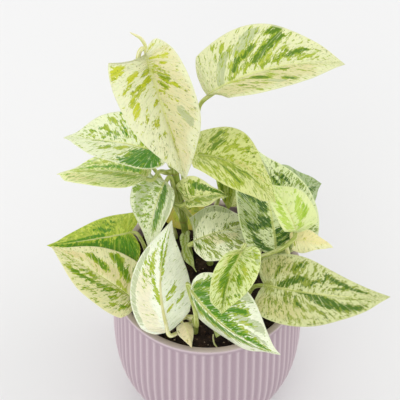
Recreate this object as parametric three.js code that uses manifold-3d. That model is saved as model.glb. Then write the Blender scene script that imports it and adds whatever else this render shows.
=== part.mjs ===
// Potted snow leopard pothos: a ribbed ceramic pot, its soil, vine stems, and the leaves on their stalks.
// Millimetres, +Z up. The origin is the centre of the pot's flat foot, -Y the front, +X the viewer's right.
import * as THREE from "three";
import { mergeVertices } from "three/addons/utils/BufferGeometryUtils.js";
import Module from "manifold-3d";

// Pot: heights and radii of the outer wall at the crests of the ribs, from the foot up; the inner wall, down.
const POT_HEIGHT = 138;
const RIM_RADIUS = 70;
const RIM_WIDTH = 5;
const RIB_COUNT = 70;
const RIB_DEPTH = 1.2;
const RIB_TOP = 135.5;
const FLOOR_THICKNESS = 8;
const OUTER_WALL = [
  { z: 0, r: 42, rib: 0 },
  { z: 3, r: 46, rib: 0 },
  { z: 5, r: 48.4, rib: 1 },
  { z: 14, r: 55.4, rib: 1 },
  { z: 28, r: 63.2, rib: 1 },
  { z: 46, r: 68.9, rib: 1 },
  { z: 70, r: 71.2, rib: 1 },
  { z: RIB_TOP - 2, r: RIM_RADIUS, rib: 1 },
  { z: RIB_TOP, r: RIM_RADIUS, rib: 0 },
  { z: POT_HEIGHT, r: RIM_RADIUS, rib: 0 },
];
const INNER_WALL = [
  { z: POT_HEIGHT, r: RIM_RADIUS - RIM_WIDTH, rib: 0 },
  { z: 62, r: 65, rib: 0 },
  { z: FLOOR_THICKNESS, r: 42, rib: 0 },
];

// Soil: its top lies a little below the rim and rises towards the middle; the plant stands in holes in it.
const GAP = 0.3;
const SOIL_EDGE = POT_HEIGHT - 12;
const SOIL_RISE = 4;
const SOIL_SIDES = 32;
const SOIL_RINGS = 4;
const HOLE_DEPTH = 16;
const HOLE_SIDES = 8;
const HOLE_CLEARANCE = 0.75;

// Blades: thickness, and half of the heart outline from the notch to the tip. Each row is a side vein: where
// it leaves the midrib, and where it meets the margin, along the chord and across it.
const BLADE_THICKNESS = 0.8;
const SIDE_VEINS = [
  { root: 0, along: 0, across: 0 },
  { root: 0.005, along: -0.075, across: 0.2 },
  { root: 0.015, along: -0.11, across: 0.46 },
  { root: 0.03, along: -0.06, across: 0.73 },
  { root: 0.06, along: 0.06, across: 0.92 },
  { root: 0.13, along: 0.23, across: 1 },
  { root: 0.26, along: 0.42, across: 0.92 },
  { root: 0.43, along: 0.6, across: 0.7 },
  { root: 0.62, along: 0.77, across: 0.41 },
  { root: 0.82, along: 0.9, across: 0.16 },
  { root: 1, along: 1, across: 0 },
];
const VEIN_STEPS = [0.34, 0.68, 1];
const VEIN_SWEEP = 1.3;
const WAVES_ALONG = 1.6;
const WAVE_SHIFT = 2;

// Stalks and stems
const TUBE_SIDES = 6;
const TUBE_STEP = 11;
const STALK_RADIUS = 1.5;
const STALK_FOOT_RADIUS = 2;
const FOOT_LENGTH = 3;
const HOOK_BACK = 3.5;
const HOOK_DROP = 2.4;
const STALK_END = 0.07;
const STALK_SINK = 0.5;

// Vine stems: from the soil up, through these points.
const STEMS = {
  stem_tall: {
    radius: 2.6,
    path: [
      [-13, 22, 118], [-13, 22, 128], [-15, 24, 142], [-20, 28, 190],
      [-26, 32, 240], [-32, 35, 285], [-39, 37, 316],
    ],
  },
  stem_middle: { radius: 2.4, path: [[2, 14, 118], [2, 14, 128], [2, 14, 140], [1, 12, 160], [-1, 10, 176]] },
  stem_right: { radius: 2.4, path: [[28, 2, 118], [28, 2, 128], [29, 2, 140], [33, 0, 158], [37, -2, 170]] },
  stem_front: { radius: 2.3, path: [[-9, -45, 118], [-9, -45, 128], [-9, -45, 138], [-10, -46, 147]] },
  stem_left: { radius: 2.3, path: [[-34, 2, 118], [-34, 2, 128], [-35, 2, 140], [-36, 2, 150]] },
};

// Leaves: where the stalk joins the blade, where the blade ends, its width, and how it is turned and bent.
// roll turns the blade about its chord from level, twist adds a turn from the stalk to the tip, arch bows the
// midrib up and sweep bows it to the right. The pairs are for the left and right halves: fold and bend lift
// them, at the midrib and on towards the margin, heel moves the broadest part towards the stalk, and lobes
// scales the lobe behind it. Angles are in degrees. from is where the stalk starts, via what it passes.
const LEAVES = {
  leaf_top_right: {
    base: [-1, 27, 300], tip: [93, 61, 294], width: 67, roll: 3, arch: 0.06, sweep: -0.06, twist: 30,
    heel: [-0.1, -0.06], fold: [23, 24], lobes: [0.2, -0.3], from: ["stem_tall", 0.42, [1, 1, 0]],
    via: [[-19, 37, 224], [-14, 37, 246], [-8, 36, 268]],
    colour: "#dcdcab",
  },
  leaf_top_left: {
    base: [-41, 36, 330], tip: [-15, -7, 254], width: 65, roll: 20, arch: 0.06, twist: -18,
    heel: [0.08, 0.02], fold: [28, 38], lobes: [0.2, -0.3], from: ["stem_tall", 0.93, [-1, 0, 0]],
    via: [[-49, 33, 321], [-47, 37, 330]],
    colour: "#ece7c4",
  },
  leaf_left_high: {
    base: [-33, 17, 254], tip: [-101, 43, 239], width: 56, roll: 6, arch: 0.05, heel: [0, -0.12],
    fold: [14, 14], lobes: [1, -0.3], from: ["stem_tall", 0.56, [-0.2, -1, 0]],
    colour: "#d8dcb4",
  },
  leaf_left_upper: {
    base: [-42, 14, 232], tip: [-108, 39, 204], width: 56, roll: 20, arch: 0.06, heel: [-0.15, -0.15],
    fold: [4, 0], lobes: [0.6, 0.3], from: ["stem_tall", 0.5, [-1, 0, 0]], via: [[-34, 22, 227]],
    colour: "#cfd48c",
  },
  leaf_middle_left: {
    base: [-30, 22, 217.5], tip: [-43, 3.5, 165.5], width: 52, roll: 17, arch: 0.06, heel: [0, -0.05],
    fold: [24, 6], lobes: [0.2, -0.2], from: ["stem_tall", 0.36, [-0.3, -1, 0]],
    colour: "#b9c69c",
  },
  leaf_left_middle: {
    base: [-56, 16, 166], tip: [-117, 10, 158], width: 50, roll: -4, arch: -0.02, heel: [0.03, 0.08],
    fold: [-22, -18], lobes: [0.6, 0.5], from: ["stem_left", 0.9, [-1, 0.4, 0]],
    colour: "#7f9a4a",
  },
  leaf_left_low: {
    base: [-51, -33, 149], tip: [-113, 3, 166], width: 48, roll: -5, arch: 0.05, heel: [-0.04, 0],
    fold: [16, 10], lobes: [0.35, 1], from: ["stem_left", 0.6, [-0.5, -1, 0]],
    colour: "#d9d6a2",
  },
  leaf_front_white: {
    base: [-28, -64, 156], tip: [-25, -6, 208], width: 55, roll: -5, arch: 0.05, sweep: -0.08,
    heel: [-0.05, -0.26], fold: [-29, -46], lobes: [0.1, -0.3],
    from: ["stem_front", 0.75, [-1, -0.4, 0]],
    colour: "#eeeccf",
  },
  leaf_front: {
    base: [-12, -56, 196], tip: [50, -83, 156], width: 60, roll: 48, sweep: 0.09, heel: [-0.2, -0.3],
    fold: [7, -60], lobes: [0.3, -0.6], from: ["stem_front", 0.95, [0.3, -1, 0]], via: [[-9, -56, 170]],
    colour: "#a9bf6a",
  },
  leaf_centre: {
    base: [23, -45, 226], tip: [9, -70, 186], width: 37, roll: -16, arch: 0.08, sweep: 0.04,
    heel: [0, -0.14], fold: [30, 52], lobes: [1, 0.1], from: ["soil", 18, -22],
    via: [[18, -25, 152], [17, -37, 185]],
    colour: "#b9c66a",
  },
  leaf_centre_back: {
    base: [-10, -14, 195], tip: [40, 13, 174], width: 44, arch: 0.1, heel: [-0.12, 0], fold: [6, -6],
    lobes: [-0.3, 0.4], from: ["stem_middle", 0.9, [-0.6, -1, 0]],
    colour: "#cdd2b0",
  },
  leaf_right_large: {
    base: [49, -9, 171], tip: [33, 57, 213], width: 68, roll: 12, arch: 0.08, heel: [-0.18, -0.08],
    fold: [25, 15], lobes: [0, 0], from: ["stem_right", 0.75, [1, -0.2, 0]],
    colour: "#a3b58a",
  },
  leaf_right_small: {
    base: [62, -9, 198], tip: [42, 14, 224], width: 36, roll: 12, arch: 0.1, heel: [-0.25, -0.08],
    fold: [20, 37], lobes: [-0.5, 0.3], from: ["stem_right", 0.97, [0, -1, 0]],
    via: [[38, -17, 181], [54, -16, 191]],
    colour: "#c8d884",
  },
  leaf_middle_high: {
    base: [-13, 14, 254], tip: [46, -15, 238], width: 60, roll: -6, arch: 0.22, heel: [0.04, -0.25],
    fold: [12, 32], bend: [-8, -12], lobes: [0.2, 0], from: ["stem_tall", 0.62, [1, -1, 0]],
    colour: "#b3c06a",
  },
  leaf_back_right: {
    base: [47, 34, 184], tip: [86, 70, 156], width: 44, roll: 35, arch: 0.06, fold: [-5, -5],
    from: ["stem_right", 0.6, [0.3, 1, 0]],
    colour: "#8fa276",
  },
  leaf_right_cream: {
    base: [59, -5, 183.5], tip: [89, -7, 178], width: 17, arch: 0.1, fold: [14, -40],
    lobes: [0.3, -0.5], from: ["soil", 44, -12], via: [[51, -19, 163], [57, -16, 177]],
    colour: "#e6e3a6",
  },
  leaf_front_right: {
    base: [39, -40, 179], tip: [127, -47, 174], width: 56, roll: 3, arch: 0.06, sweep: 0.08,
    heel: [0.09, -0.05], fold: [5, 0], lobes: [-0.3, -0.7], from: ["soil", 28, -30],
    via: [[30, -32, 160]],
    colour: "#c3cb86",
  },
  leaf_middle_under: {
    base: [-16, 8, 212], tip: [14, 17, 206], width: 42, roll: -20, arch: 0.1, fold: [14, 14],
    lobes: [0, 0.4], from: ["stem_middle", 0.85, [-1, 1, 0]], via: [[-17, 17, 192], [-23, 10, 206]],
    colour: "#b4bd84",
  },
  leaf_middle_hanging: {
    base: [13, 36, 222], tip: [15, 30, 174], width: 18, arch: 0.05, fold: [10, 10],
    from: ["stem_middle", 0.95, [0.3, 1, 0]], via: [[8, 30, 190], [10, 38, 212]],
    colour: "#b5c070",
  },
  leaf_shaded: {
    base: [-26, 49, 152], tip: [12, 28, 148], width: 28, arch: 0.1, fold: [-10, -10],
    from: ["soil", -24, 40],
    colour: "#9a9c48",
  },
  leaf_narrow: {
    base: [-16, 9, 170], tip: [-8, -14, 158], width: 13, roll: 70, arch: 0.08, fold: [10, 10],
    from: ["soil", -20, 10],
    colour: "#b9c58a",
  },
  leaf_low: {
    base: [15, -35, 150], tip: [6, -57, 138], width: 32, arch: 0.1, fold: [-10, -10],
    from: ["soil", 8, -26],
    colour: "#8d9c63",
  },
  leaf_back_middle: {
    base: [27, 46, 164], tip: [40, 92, 148], width: 36, arch: 0.12, fold: [10, 10], bend: [-10, -10],
    from: ["stem_right", 0.45, [-0.2, 1, 0]],
    colour: "#a9b877",
  },
  leaf_back_low: {
    base: [41, 44, 146], tip: [68, 74, 140], width: 34, arch: 0.12, fold: [10, 10], bend: [-10, -10],
    from: ["soil", 30, 30],
    colour: "#9dad70",
  },
  leaf_back_left: {
    base: [-42, 60, 190], tip: [-80, 88, 168], width: 40, arch: 0.12, fold: [10, 10], bend: [-10, -10],
    from: ["stem_tall", 0.25, [-0.5, 1, 0]],
    colour: "#b0bd7c",
  },
  sheath: {
    base: [-17, -53, 150], tip: [-11, -66, 139], width: 10, roll: -10, arch: 0.1, wave: 0.3,
    fold: [-30, -30], lobes: [0.3, 0.3], from: ["stem_front", 0.96, [-1, 0.3, 0]],
    colour: "#e3e2b4",
  },
};

// The youngest leaf at the crown is still rolled up; a thin root lies on the soil. Radii run along the path.
const ROLLED_LEAF = {
  path: [[-39.2, 37.2, 316.8], [-40, 43, 324], [-43, 44, 334], [-50, 35, 350]],
  radii: [0.9, 1.1, 1.2, 0.9, 0.35],
};
const ROOT = {
  path: [[4, -48, 128.8], [4, -52, 128.4], [5, -56, 127.95], [8, -60, 127.3]],
  radii: [0.5, 0.6, 0.6, 0.4],
};

const UP = new THREE.Vector3(0, 0, 1);
const vector = (p) => new THREE.Vector3(...p);
const wasm = await Module();
wasm.setup();

function geometryFrom(points, faces) {
  const geometry = new THREE.BufferGeometry().setFromPoints(points);
  geometry.setIndex(faces);
  return geometry;
}

function toSolid(geometry) {
  const bare = geometry.clone();
  bare.deleteAttribute("normal");
  bare.deleteAttribute("uv");
  const merged = mergeVertices(bare);
  const triVerts = new Uint32Array(merged.index.array);
  const vertProperties = new Float32Array(merged.attributes.position.array);
  return new wasm.Manifold(new wasm.Mesh({ numProp: 3, vertProperties, triVerts }));
}

function toGeometry(solid) {
  const mesh = solid.getMesh();
  const geometry = new THREE.BufferGeometry();
  geometry.setAttribute("position", new THREE.BufferAttribute(mesh.vertProperties, mesh.numProp));
  geometry.setIndex(new THREE.BufferAttribute(mesh.triVerts, 1));
  return geometry;
}

// A closed body through rings of points; each ring turns left seen from the end that the rings run towards.
function loft(rings, firstCentre, lastCentre) {
  const sides = rings[0].length;
  const points = [...rings.flat(), firstCentre, lastCentre];
  const first = rings.length * sides;
  const last = first + 1;
  const faces = [];
  rings.forEach((_, row) => {
    for (let i = 0; i < sides; i++) {
      const a = row * sides + i;
      const b = row * sides + ((i + 1) % sides);
      if (row === 0) faces.push(first, b, a);
      if (row === rings.length - 1) faces.push(last, a, b);
      else faces.push(a, b, b + sides, a, b + sides, a + sides);
    }
  });
  return geometryFrom(points, faces);
}

// A closed round tube along a smooth curve, its radius given by how far along it is.
function tube(curve, radiusAt) {
  const steps = Math.max(4, Math.round(curve.getLength() / TUBE_STEP));
  const frames = curve.computeFrenetFrames(steps, false);
  const rings = frames.normals.map((normal, step) => {
    const centre = curve.getPointAt(step / steps);
    const radius = radiusAt(step / steps);
    return Array.from({ length: TUBE_SIDES }, (_, i) => {
      const angle = (2 * Math.PI * i) / TUBE_SIDES;
      return centre
        .clone()
        .addScaledVector(normal, radius * Math.cos(angle))
        .addScaledVector(frames.binormals[step], radius * Math.sin(angle));
    });
  });
  return loft(rings, curve.getPointAt(0), curve.getPointAt(1));
}

function ribbedPot() {
  const columns = 2 * RIB_COUNT;
  const rings = [...OUTER_WALL, ...INNER_WALL].map(({ z, r, rib }) =>
    Array.from({ length: columns }, (_, i) => {
      const angle = (2 * Math.PI * i) / columns;
      const radius = r - (i % 2) * rib * RIB_DEPTH;
      return new THREE.Vector3(radius * Math.cos(angle), radius * Math.sin(angle), z);
    }),
  );
  return loft(rings, new THREE.Vector3(), new THREE.Vector3(0, 0, FLOOR_THICKNESS));
}

function soilHeight(radius) {
  return SOIL_EDGE + SOIL_RISE * Math.cos((0.5 * Math.PI * radius) / RIM_RADIUS);
}

// The soil fills the pot down to its floor; every stem and stalk that rises from it stands in a plain hole.
function soilBody(holes) {
  const inside = (z) => {
    const k = INNER_WALL.findIndex((row) => row.z <= z);
    const [above, below] = [INNER_WALL[k - 1], INNER_WALL[k]];
    return THREE.MathUtils.mapLinear(z, below.z, above.z, below.r, above.r) - 2 * GAP;
  };
  const floor = FLOOR_THICKNESS + GAP;
  const side = [floor, INNER_WALL[1].z, SOIL_EDGE].map((z) => new THREE.Vector2(inside(z), z));
  const top = Array.from({ length: SOIL_RINGS }, (_, ring) => {
    const radius = inside(SOIL_EDGE) * (1 - (ring + 1) / SOIL_RINGS);
    return new THREE.Vector2(radius, soilHeight(radius));
  });
  const profile = [new THREE.Vector2(0, floor), ...side, ...top];
  let body = toSolid(new THREE.LatheGeometry(profile, SOIL_SIDES).rotateX(Math.PI / 2));
  for (const { x, y, radius } of holes) {
    const hole = new THREE.CylinderGeometry(radius, radius, 2 * HOLE_DEPTH, HOLE_SIDES).rotateX(Math.PI / 2);
    body = body.subtract(toSolid(hole.translate(x, y, soilHeight(Math.hypot(x, y)))));
  }
  return toGeometry(body);
}

// The midrib and the side veins of one blade, as a function that gives any point of its middle surface.
function bladeSurface({
  base, tip, width, fold, bend = [0, 0], roll = 0, arch = 0, sweep = 0, twist = 0, wave = 1, heel = [0, 0],
  lobes = [1, 1],
}) {
  const start = vector(base);
  const chord = vector(tip).sub(start);
  const length = chord.length();
  const ahead = chord.clone().normalize();
  const level = UP.clone().addScaledVector(ahead, -UP.dot(ahead)).normalize();
  const face = level.applyAxisAngle(ahead, THREE.MathUtils.degToRad(roll));
  const side = ahead.clone().cross(face);
  const bow = face.clone().multiplyScalar(arch).addScaledVector(side, sweep).multiplyScalar(4 * length);
  const midrib = (t) => start.clone().addScaledVector(chord, t).addScaledVector(bow, t * (1 - t));
  const frameAt = (t) => {
    const along = chord.clone().addScaledVector(bow, 1 - 2 * t).normalize();
    const right = along.clone().cross(face).normalize();
    const up = right.clone().cross(along);
    const turn = THREE.MathUtils.degToRad(twist) * (t - 0.5);
    return { along, right: right.applyAxisAngle(along, turn), up: up.applyAxisAngle(along, turn) };
  };
  // hand is -1 for the left half and 1 for the right half; v runs from the midrib to the margin
  const point = (vein, v, hand) => {
    const half = hand < 0 ? 0 : 1;
    const along = vein.along * (vein.along < 0 ? lobes[half] : 1) - heel[half] * vein.across;
    const t = vein.root + (along - vein.root) * v ** VEIN_SWEEP;
    const { right, up } = frameAt(t);
    const lift = THREE.MathUtils.degToRad(fold[half] + bend[half] * v);
    const reach = 0.5 * width * vein.across * v;
    const ripple = wave * v * v * Math.sin(2 * Math.PI * WAVES_ALONG * vein.along + WAVE_SHIFT * hand);
    return midrib(t)
      .addScaledVector(right, hand * reach * Math.cos(lift))
      .addScaledVector(up, reach * Math.sin(lift) + (vein.across > 0 ? ripple : 0));
  };
  return { point, midrib, frameAt };
}

// A blade of even thickness: the middle surface moved out both ways and closed round the margin.
function blade({ point }) {
  const columns = [...VEIN_STEPS.map((v) => [-1, v]).reverse(), [0, 0], ...VEIN_STEPS.map((v) => [1, v])];
  const rows = SIDE_VEINS.slice(1, -1);
  const points = [point(SIDE_VEINS[0], 0, 1)];
  for (const vein of rows) for (const [hand, v] of columns) points.push(point(vein, v, hand));
  const tip = points.length;
  points.push(point(SIDE_VEINS.at(-1), 0, 1));

  const count = columns.length;
  const at = (row, column) => 1 + row * count + column;
  const lastRow = rows.length - 1;
  const faces = [];
  for (let column = 0; column + 1 < count; column++) {
    faces.push(0, at(0, column + 1), at(0, column));
    faces.push(tip, at(lastRow, column), at(lastRow, column + 1));
    for (let row = 0; row < lastRow; row++) {
      const [a, b] = [at(row, column), at(row, column + 1)];
      const [c, d] = [at(row + 1, column + 1), at(row + 1, column)];
      if (column < count / 2 - 1) faces.push(a, b, d, b, c, d);
      else faces.push(a, b, c, a, c, d);
    }
  }
  const rightMargin = rows.map((_, row) => at(row, count - 1));
  const leftMargin = rows.map((_, row) => at(row, 0)).reverse();
  const margin = [0, ...rightMargin, tip, ...leftMargin];

  const middle = geometryFrom(points, faces);
  middle.computeVertexNormals();
  const normals = points.map((_, i) => new THREE.Vector3().fromBufferAttribute(middle.attributes.normal, i));
  const shifted = (h) => points.map((p, i) => p.clone().addScaledVector(normals[i], h));
  const under = points.length;
  const body = [...faces];
  for (let i = 0; i < faces.length; i += 3) {
    body.push(under + faces[i], under + faces[i + 2], under + faces[i + 1]);
  }
  margin.forEach((p, i) => {
    const q = margin[(i + 1) % margin.length];
    body.push(under + p, under + q, q, under + p, q, p);
  });
  return geometryFrom([...shifted(BLADE_THICKNESS / 2), ...shifted(-BLADE_THICKNESS / 2)], body);
}

const stemCurves = {};
const stemRadius = {};
const holes = [];
for (const [name, { radius, path }] of Object.entries(STEMS)) {
  stemCurves[name] = new THREE.CatmullRomCurve3(path.map(vector));
  stemRadius[name] = radius;
  holes.push({ x: path[0][0], y: path[0][1], radius: radius + HOLE_CLEARANCE });
}

// Where a stalk starts: in the soil, or on the side of a stem and square to it.
function stalkStart([place, ...where]) {
  if (place === "soil") {
    const [x, y] = where;
    const top = soilHeight(Math.hypot(x, y));
    holes.push({ x, y, radius: STALK_FOOT_RADIUS + HOLE_CLEARANCE });
    return [GAP - HOLE_DEPTH, -FOOT_LENGTH, FOOT_LENGTH].map((rise) => new THREE.Vector3(x, y, top + rise));
  }
  const [t, towards] = where;
  const tangent = stemCurves[place].getTangentAt(t);
  const out = vector(towards);
  out.addScaledVector(tangent, -out.dot(tangent)).normalize();
  const foot = stemCurves[place].getPointAt(t).addScaledVector(out, stemRadius[place] + GAP);
  return [0, FOOT_LENGTH / 3, FOOT_LENGTH].map((distance) => foot.clone().addScaledVector(out, distance));
}

function leafOnStalk(row) {
  const surface = bladeSurface(row);
  const { along, up } = surface.frameAt(0);
  const joint = surface.midrib(0);
  const below = joint.clone().addScaledVector(along, -HOOK_BACK).addScaledVector(up, -HOOK_DROP);
  const inside = surface.midrib(STALK_END).addScaledVector(up, -STALK_SINK);
  const path = [...stalkStart(row.from), ...(row.via ?? []).map(vector), below, inside];
  const curve = new THREE.CatmullRomCurve3(path, false, "centripetal");
  const radiusAt = (t) => THREE.MathUtils.lerp(STALK_FOOT_RADIUS, STALK_RADIUS, Math.min(1, 2 * t));
  const stalk = tube(curve, radiusAt);
  return toGeometry(toSolid(blade(surface)).add(toSolid(stalk)));
}

// A tube whose radii are spread evenly along a path.
function taperedTube({ path, radii }) {
  const last = radii.length - 1;
  return tube(new THREE.CatmullRomCurve3(path.map(vector)), (t) => {
    const k = Math.min(last - 1, Math.floor(t * last));
    return THREE.MathUtils.lerp(radii[k], radii[k + 1], t * last - k);
  });
}

const part = new THREE.Group();

function addPiece(name, geometry, colour, roughness) {
  const material = new THREE.MeshStandardMaterial({ color: colour, roughness, metalness: 0 });
  const mesh = new THREE.Mesh(geometry, material);
  mesh.name = name;
  part.add(mesh);
}

addPiece("pot", ribbedPot(), "#b9a6b0", 0.6);
for (const [name, row] of Object.entries(LEAVES)) {
  addPiece(name, leafOnStalk(row), row.colour, 0.5);
}
for (const [name, curve] of Object.entries(stemCurves)) {
  addPiece(name, tube(curve, () => stemRadius[name]), "#8fa04a", 0.6);
}
addPiece("leaf_rolled", taperedTube(ROLLED_LEAF), "#eeeccb", 0.5);
addPiece("root", taperedTube(ROOT), "#cdbfa6", 0.7);
addPiece("soil", soilBody(holes), "#2b211c", 0.95);

export default part;
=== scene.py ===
import math

import bpy
import numpy as np
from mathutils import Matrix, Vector, noise


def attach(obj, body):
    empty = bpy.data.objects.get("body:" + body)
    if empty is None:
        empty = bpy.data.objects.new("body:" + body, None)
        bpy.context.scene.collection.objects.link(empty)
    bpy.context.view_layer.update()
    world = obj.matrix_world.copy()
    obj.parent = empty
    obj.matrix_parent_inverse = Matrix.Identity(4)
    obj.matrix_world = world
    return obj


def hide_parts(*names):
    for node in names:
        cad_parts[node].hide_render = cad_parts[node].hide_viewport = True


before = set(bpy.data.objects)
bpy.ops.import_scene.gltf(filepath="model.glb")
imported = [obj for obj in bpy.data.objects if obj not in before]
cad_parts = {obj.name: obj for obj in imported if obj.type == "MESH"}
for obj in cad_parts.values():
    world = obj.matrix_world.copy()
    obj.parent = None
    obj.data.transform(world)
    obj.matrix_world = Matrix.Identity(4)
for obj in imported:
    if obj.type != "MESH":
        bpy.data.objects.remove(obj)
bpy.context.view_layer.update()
MM = 0.001

# The pot: one piece of slip-cast ceramic with a soft mauve matt glaze. Narrow upright ribs run up its curved
# wall to a plain flat rim, and the foot is flat and smooth. A paler pink is painted on every rib crest and
# round the outer lip as painted highlight, and the rim's top carries a tan painted reflection of the leaves.
POT_HEIGHT = 138
RIM_RADIUS = 70
RIM_WIDTH = 5
RIB_COUNT = 70
RIB_DEPTH = 1.3
RIB_FOOT = 3
RIB_FOOT_FADE = 4
RIB_TOP = 135.5
RIB_TOP_FADE = 2.2
RIB_SHARPNESS = 0.75
WALL_HEIGHTS = [0, 0.6, 3, 5, 14, 28, 46, 70, 100, 126, RIB_TOP]
WALL_RADII = [41, 42.6, 46, 48.4, 55.4, 63.2, 68.9, 71.2, 70.9, 70.2, 70]
WALL_RINGS = 56
FOOT = [(0.5, 1), (36, 1), (38, 0)]
INSIDE = [(65, 118), (65, 90), (65, 62), (58, 44), (50, 24), (42, 9.5), (40, 8), (0.5, 8)]
EDGE_ROUND = 0.9
COLUMNS_PER_RIB = 8
GLAZE = "#a9939d"
GLAZE_CLOUD = "#ae98a4"
GLAZE_HIGHLIGHT = "#d8c8cc"
GLAZE_RIM_REFLECTION = "#ac9d92"
GLAZE_SPECK = "#9c8390"


def linear(colour):
    """A colour from how it looks on screen to the amount of light it stands for."""
    parts = [int(colour[i:i + 2], 16) / 255 for i in (1, 3, 5)]
    return [c / 12.92 if c < 0.04045 else ((c + 0.055) / 1.055) ** 2.4 for c in parts] + [1.0]


class Tone:
    """A number, colour or direction in a finish. Sums and products of numbers make its Math nodes."""

    def __init__(self, tree, socket=None):
        self.tree = tree
        self.socket = socket

    def node(self, kind, settings, sockets, out=0):
        made = self.tree.nodes.new("ShaderNode" + kind)
        for name, value in settings.items():
            setattr(made, name, value)
        for name, value in sockets.items():
            if isinstance(value, Tone):
                self.tree.links.new(value.socket, made.inputs[name])
            else:
                made.inputs[name].default_value = linear(value) if isinstance(value, str) else value
        return Tone(self.tree, made.outputs[out])

    def maths(self, operation, *values):
        return self.node("Math", {"operation": operation}, dict(enumerate(values)))

    def fact(self, name, out=1):
        """What each point of a mesh carries under this name: a direction, or a number with out=2."""
        return self.node("Attribute", {"attribute_name": name}, {}, out)

    def axis(self, which):
        """One of the three numbers of a direction or place."""
        return self.node("SeparateXYZ", {}, {0: self}, out=which)

    def __add__(self, other):
        return self.maths("ADD", self, other)

    def __radd__(self, other):
        return self.maths("ADD", other, self)

    def __sub__(self, other):
        return self.maths("SUBTRACT", self, other)

    def __rsub__(self, other):
        return self.maths("SUBTRACT", other, self)

    def __mul__(self, other):
        return self.maths("MULTIPLY", self, other)

    def __rmul__(self, other):
        return self.maths("MULTIPLY", other, self)

    def rise(self, low, high):
        """0 below low, 1 above high, and smooth between them. It falls where low is the larger."""
        settings = {"interpolation_type": "SMOOTHSTEP"}
        if low <= high:
            return self.node("MapRange", settings, {"Value": self, "From Min": low, "From Max": high})
        return 1 - self.rise(high, low)

    def blend(self, first, second):
        """The colour between two others, by this share of the second."""
        sockets = {0: self, 6: first, 7: second}
        return self.node("Mix", {"data_type": "RGBA", "clamp_factor": True}, sockets, out=2)

    def times(self, other):
        """A direction or place scaled along each axis."""
        return self.node("VectorMath", {"operation": "MULTIPLY"}, {0: self, 1: other})

    def plus(self, other):
        return self.node("VectorMath", {"operation": "ADD"}, {0: self, 1: other})

    def grain(self, scale, detail=3.0, roughness=0.5, distortion=0.0):
        """Cloudy noise over this place, from 0 to 1."""
        sockets = {"Vector": self, "Scale": scale, "Detail": detail, "Roughness": roughness,
                   "Distortion": distortion}
        return self.node("TexNoise", {}, sockets)


def finish(name, gloss):
    """An empty finish: its material, and its shader with the numbers that stay the same all over it."""
    material = bpy.data.materials.new(name)
    material.use_nodes = True
    tree = material.node_tree
    shader = tree.nodes["Principled BSDF"]
    for socket, value in gloss.items():
        shader.inputs[socket].default_value = value
    return material, Tone(tree), shader


def feed(start, shader, **sockets):
    """Links what changes over the surface to the shader, by the sockets' names with _ for a space."""
    for name, value in sockets.items():
        start.tree.links.new(value.socket, shader.inputs[name.replace("_", " ")])


def relief(start, height, depth):
    """A bumpy surface, from a height between 0 and 1 and its real depth in millimetres."""
    return start.node("Bump", {}, {"Height": height, "Distance": depth * MM, "Strength": 1.0})


def piece(name, points, faces, material, slot, nodes, facts=None):
    """Makes one smooth mesh from points in millimetres and hangs it on the frame in its solid's place."""
    mesh = bpy.data.meshes.new(name)
    mesh.from_pydata((np.asarray(points) * MM).tolist(), [], faces)
    mesh.polygons.foreach_set("use_smooth", [True] * len(mesh.polygons))
    for label, values in (facts or {}).items():
        values = np.asarray(values, np.float32)
        kind, field = ("FLOAT_VECTOR", "vector") if values.ndim > 1 else ("FLOAT", "value")
        mesh.attributes.new(label, kind, "POINT").data.foreach_set(field, values.ravel())
    mesh.materials.append(material)
    mesh.update()
    made = bpy.data.objects.new(name, mesh)
    bpy.context.scene.collection.objects.link(made)
    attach(made, "root")
    if nodes:
        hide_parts(*nodes)
    return made


def closed(rings):
    """One closed body through rings of points: the walls between them and a flat cap at each end."""
    sides = len(rings[0])
    points = np.vstack(rings)
    faces = []
    for first in range(0, len(points) - sides, sides):
        for i in range(sides):
            a, b = first + i, first + (i + 1) % sides
            faces.append((a, b, b + sides, a + sides))
    faces.append(tuple(reversed(range(sides))))
    faces.append(tuple(range(len(points) - sides, len(points))))
    return points, faces


def smooth_line(table, at):
    """Values of a smooth line through the rows of a table, at places counted in rows."""
    table = np.asarray(table, float)
    at = np.clip(np.asarray(at, float), 0, len(table) - 1)
    first = np.minimum(at.astype(int), len(table) - 2)
    t = (at - first)[:, None]
    ends = np.vstack([2 * table[0] - table[1], table, 2 * table[-1] - table[-2]])
    p0, p1, p2, p3 = (ends[first + k] for k in range(4))
    return p1 + 0.5 * t * (p2 - p0 + t * (2 * p0 - 5 * p1 + 4 * p2 - p3 + t * (3 * (p1 - p2) + p3 - p0)))


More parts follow.
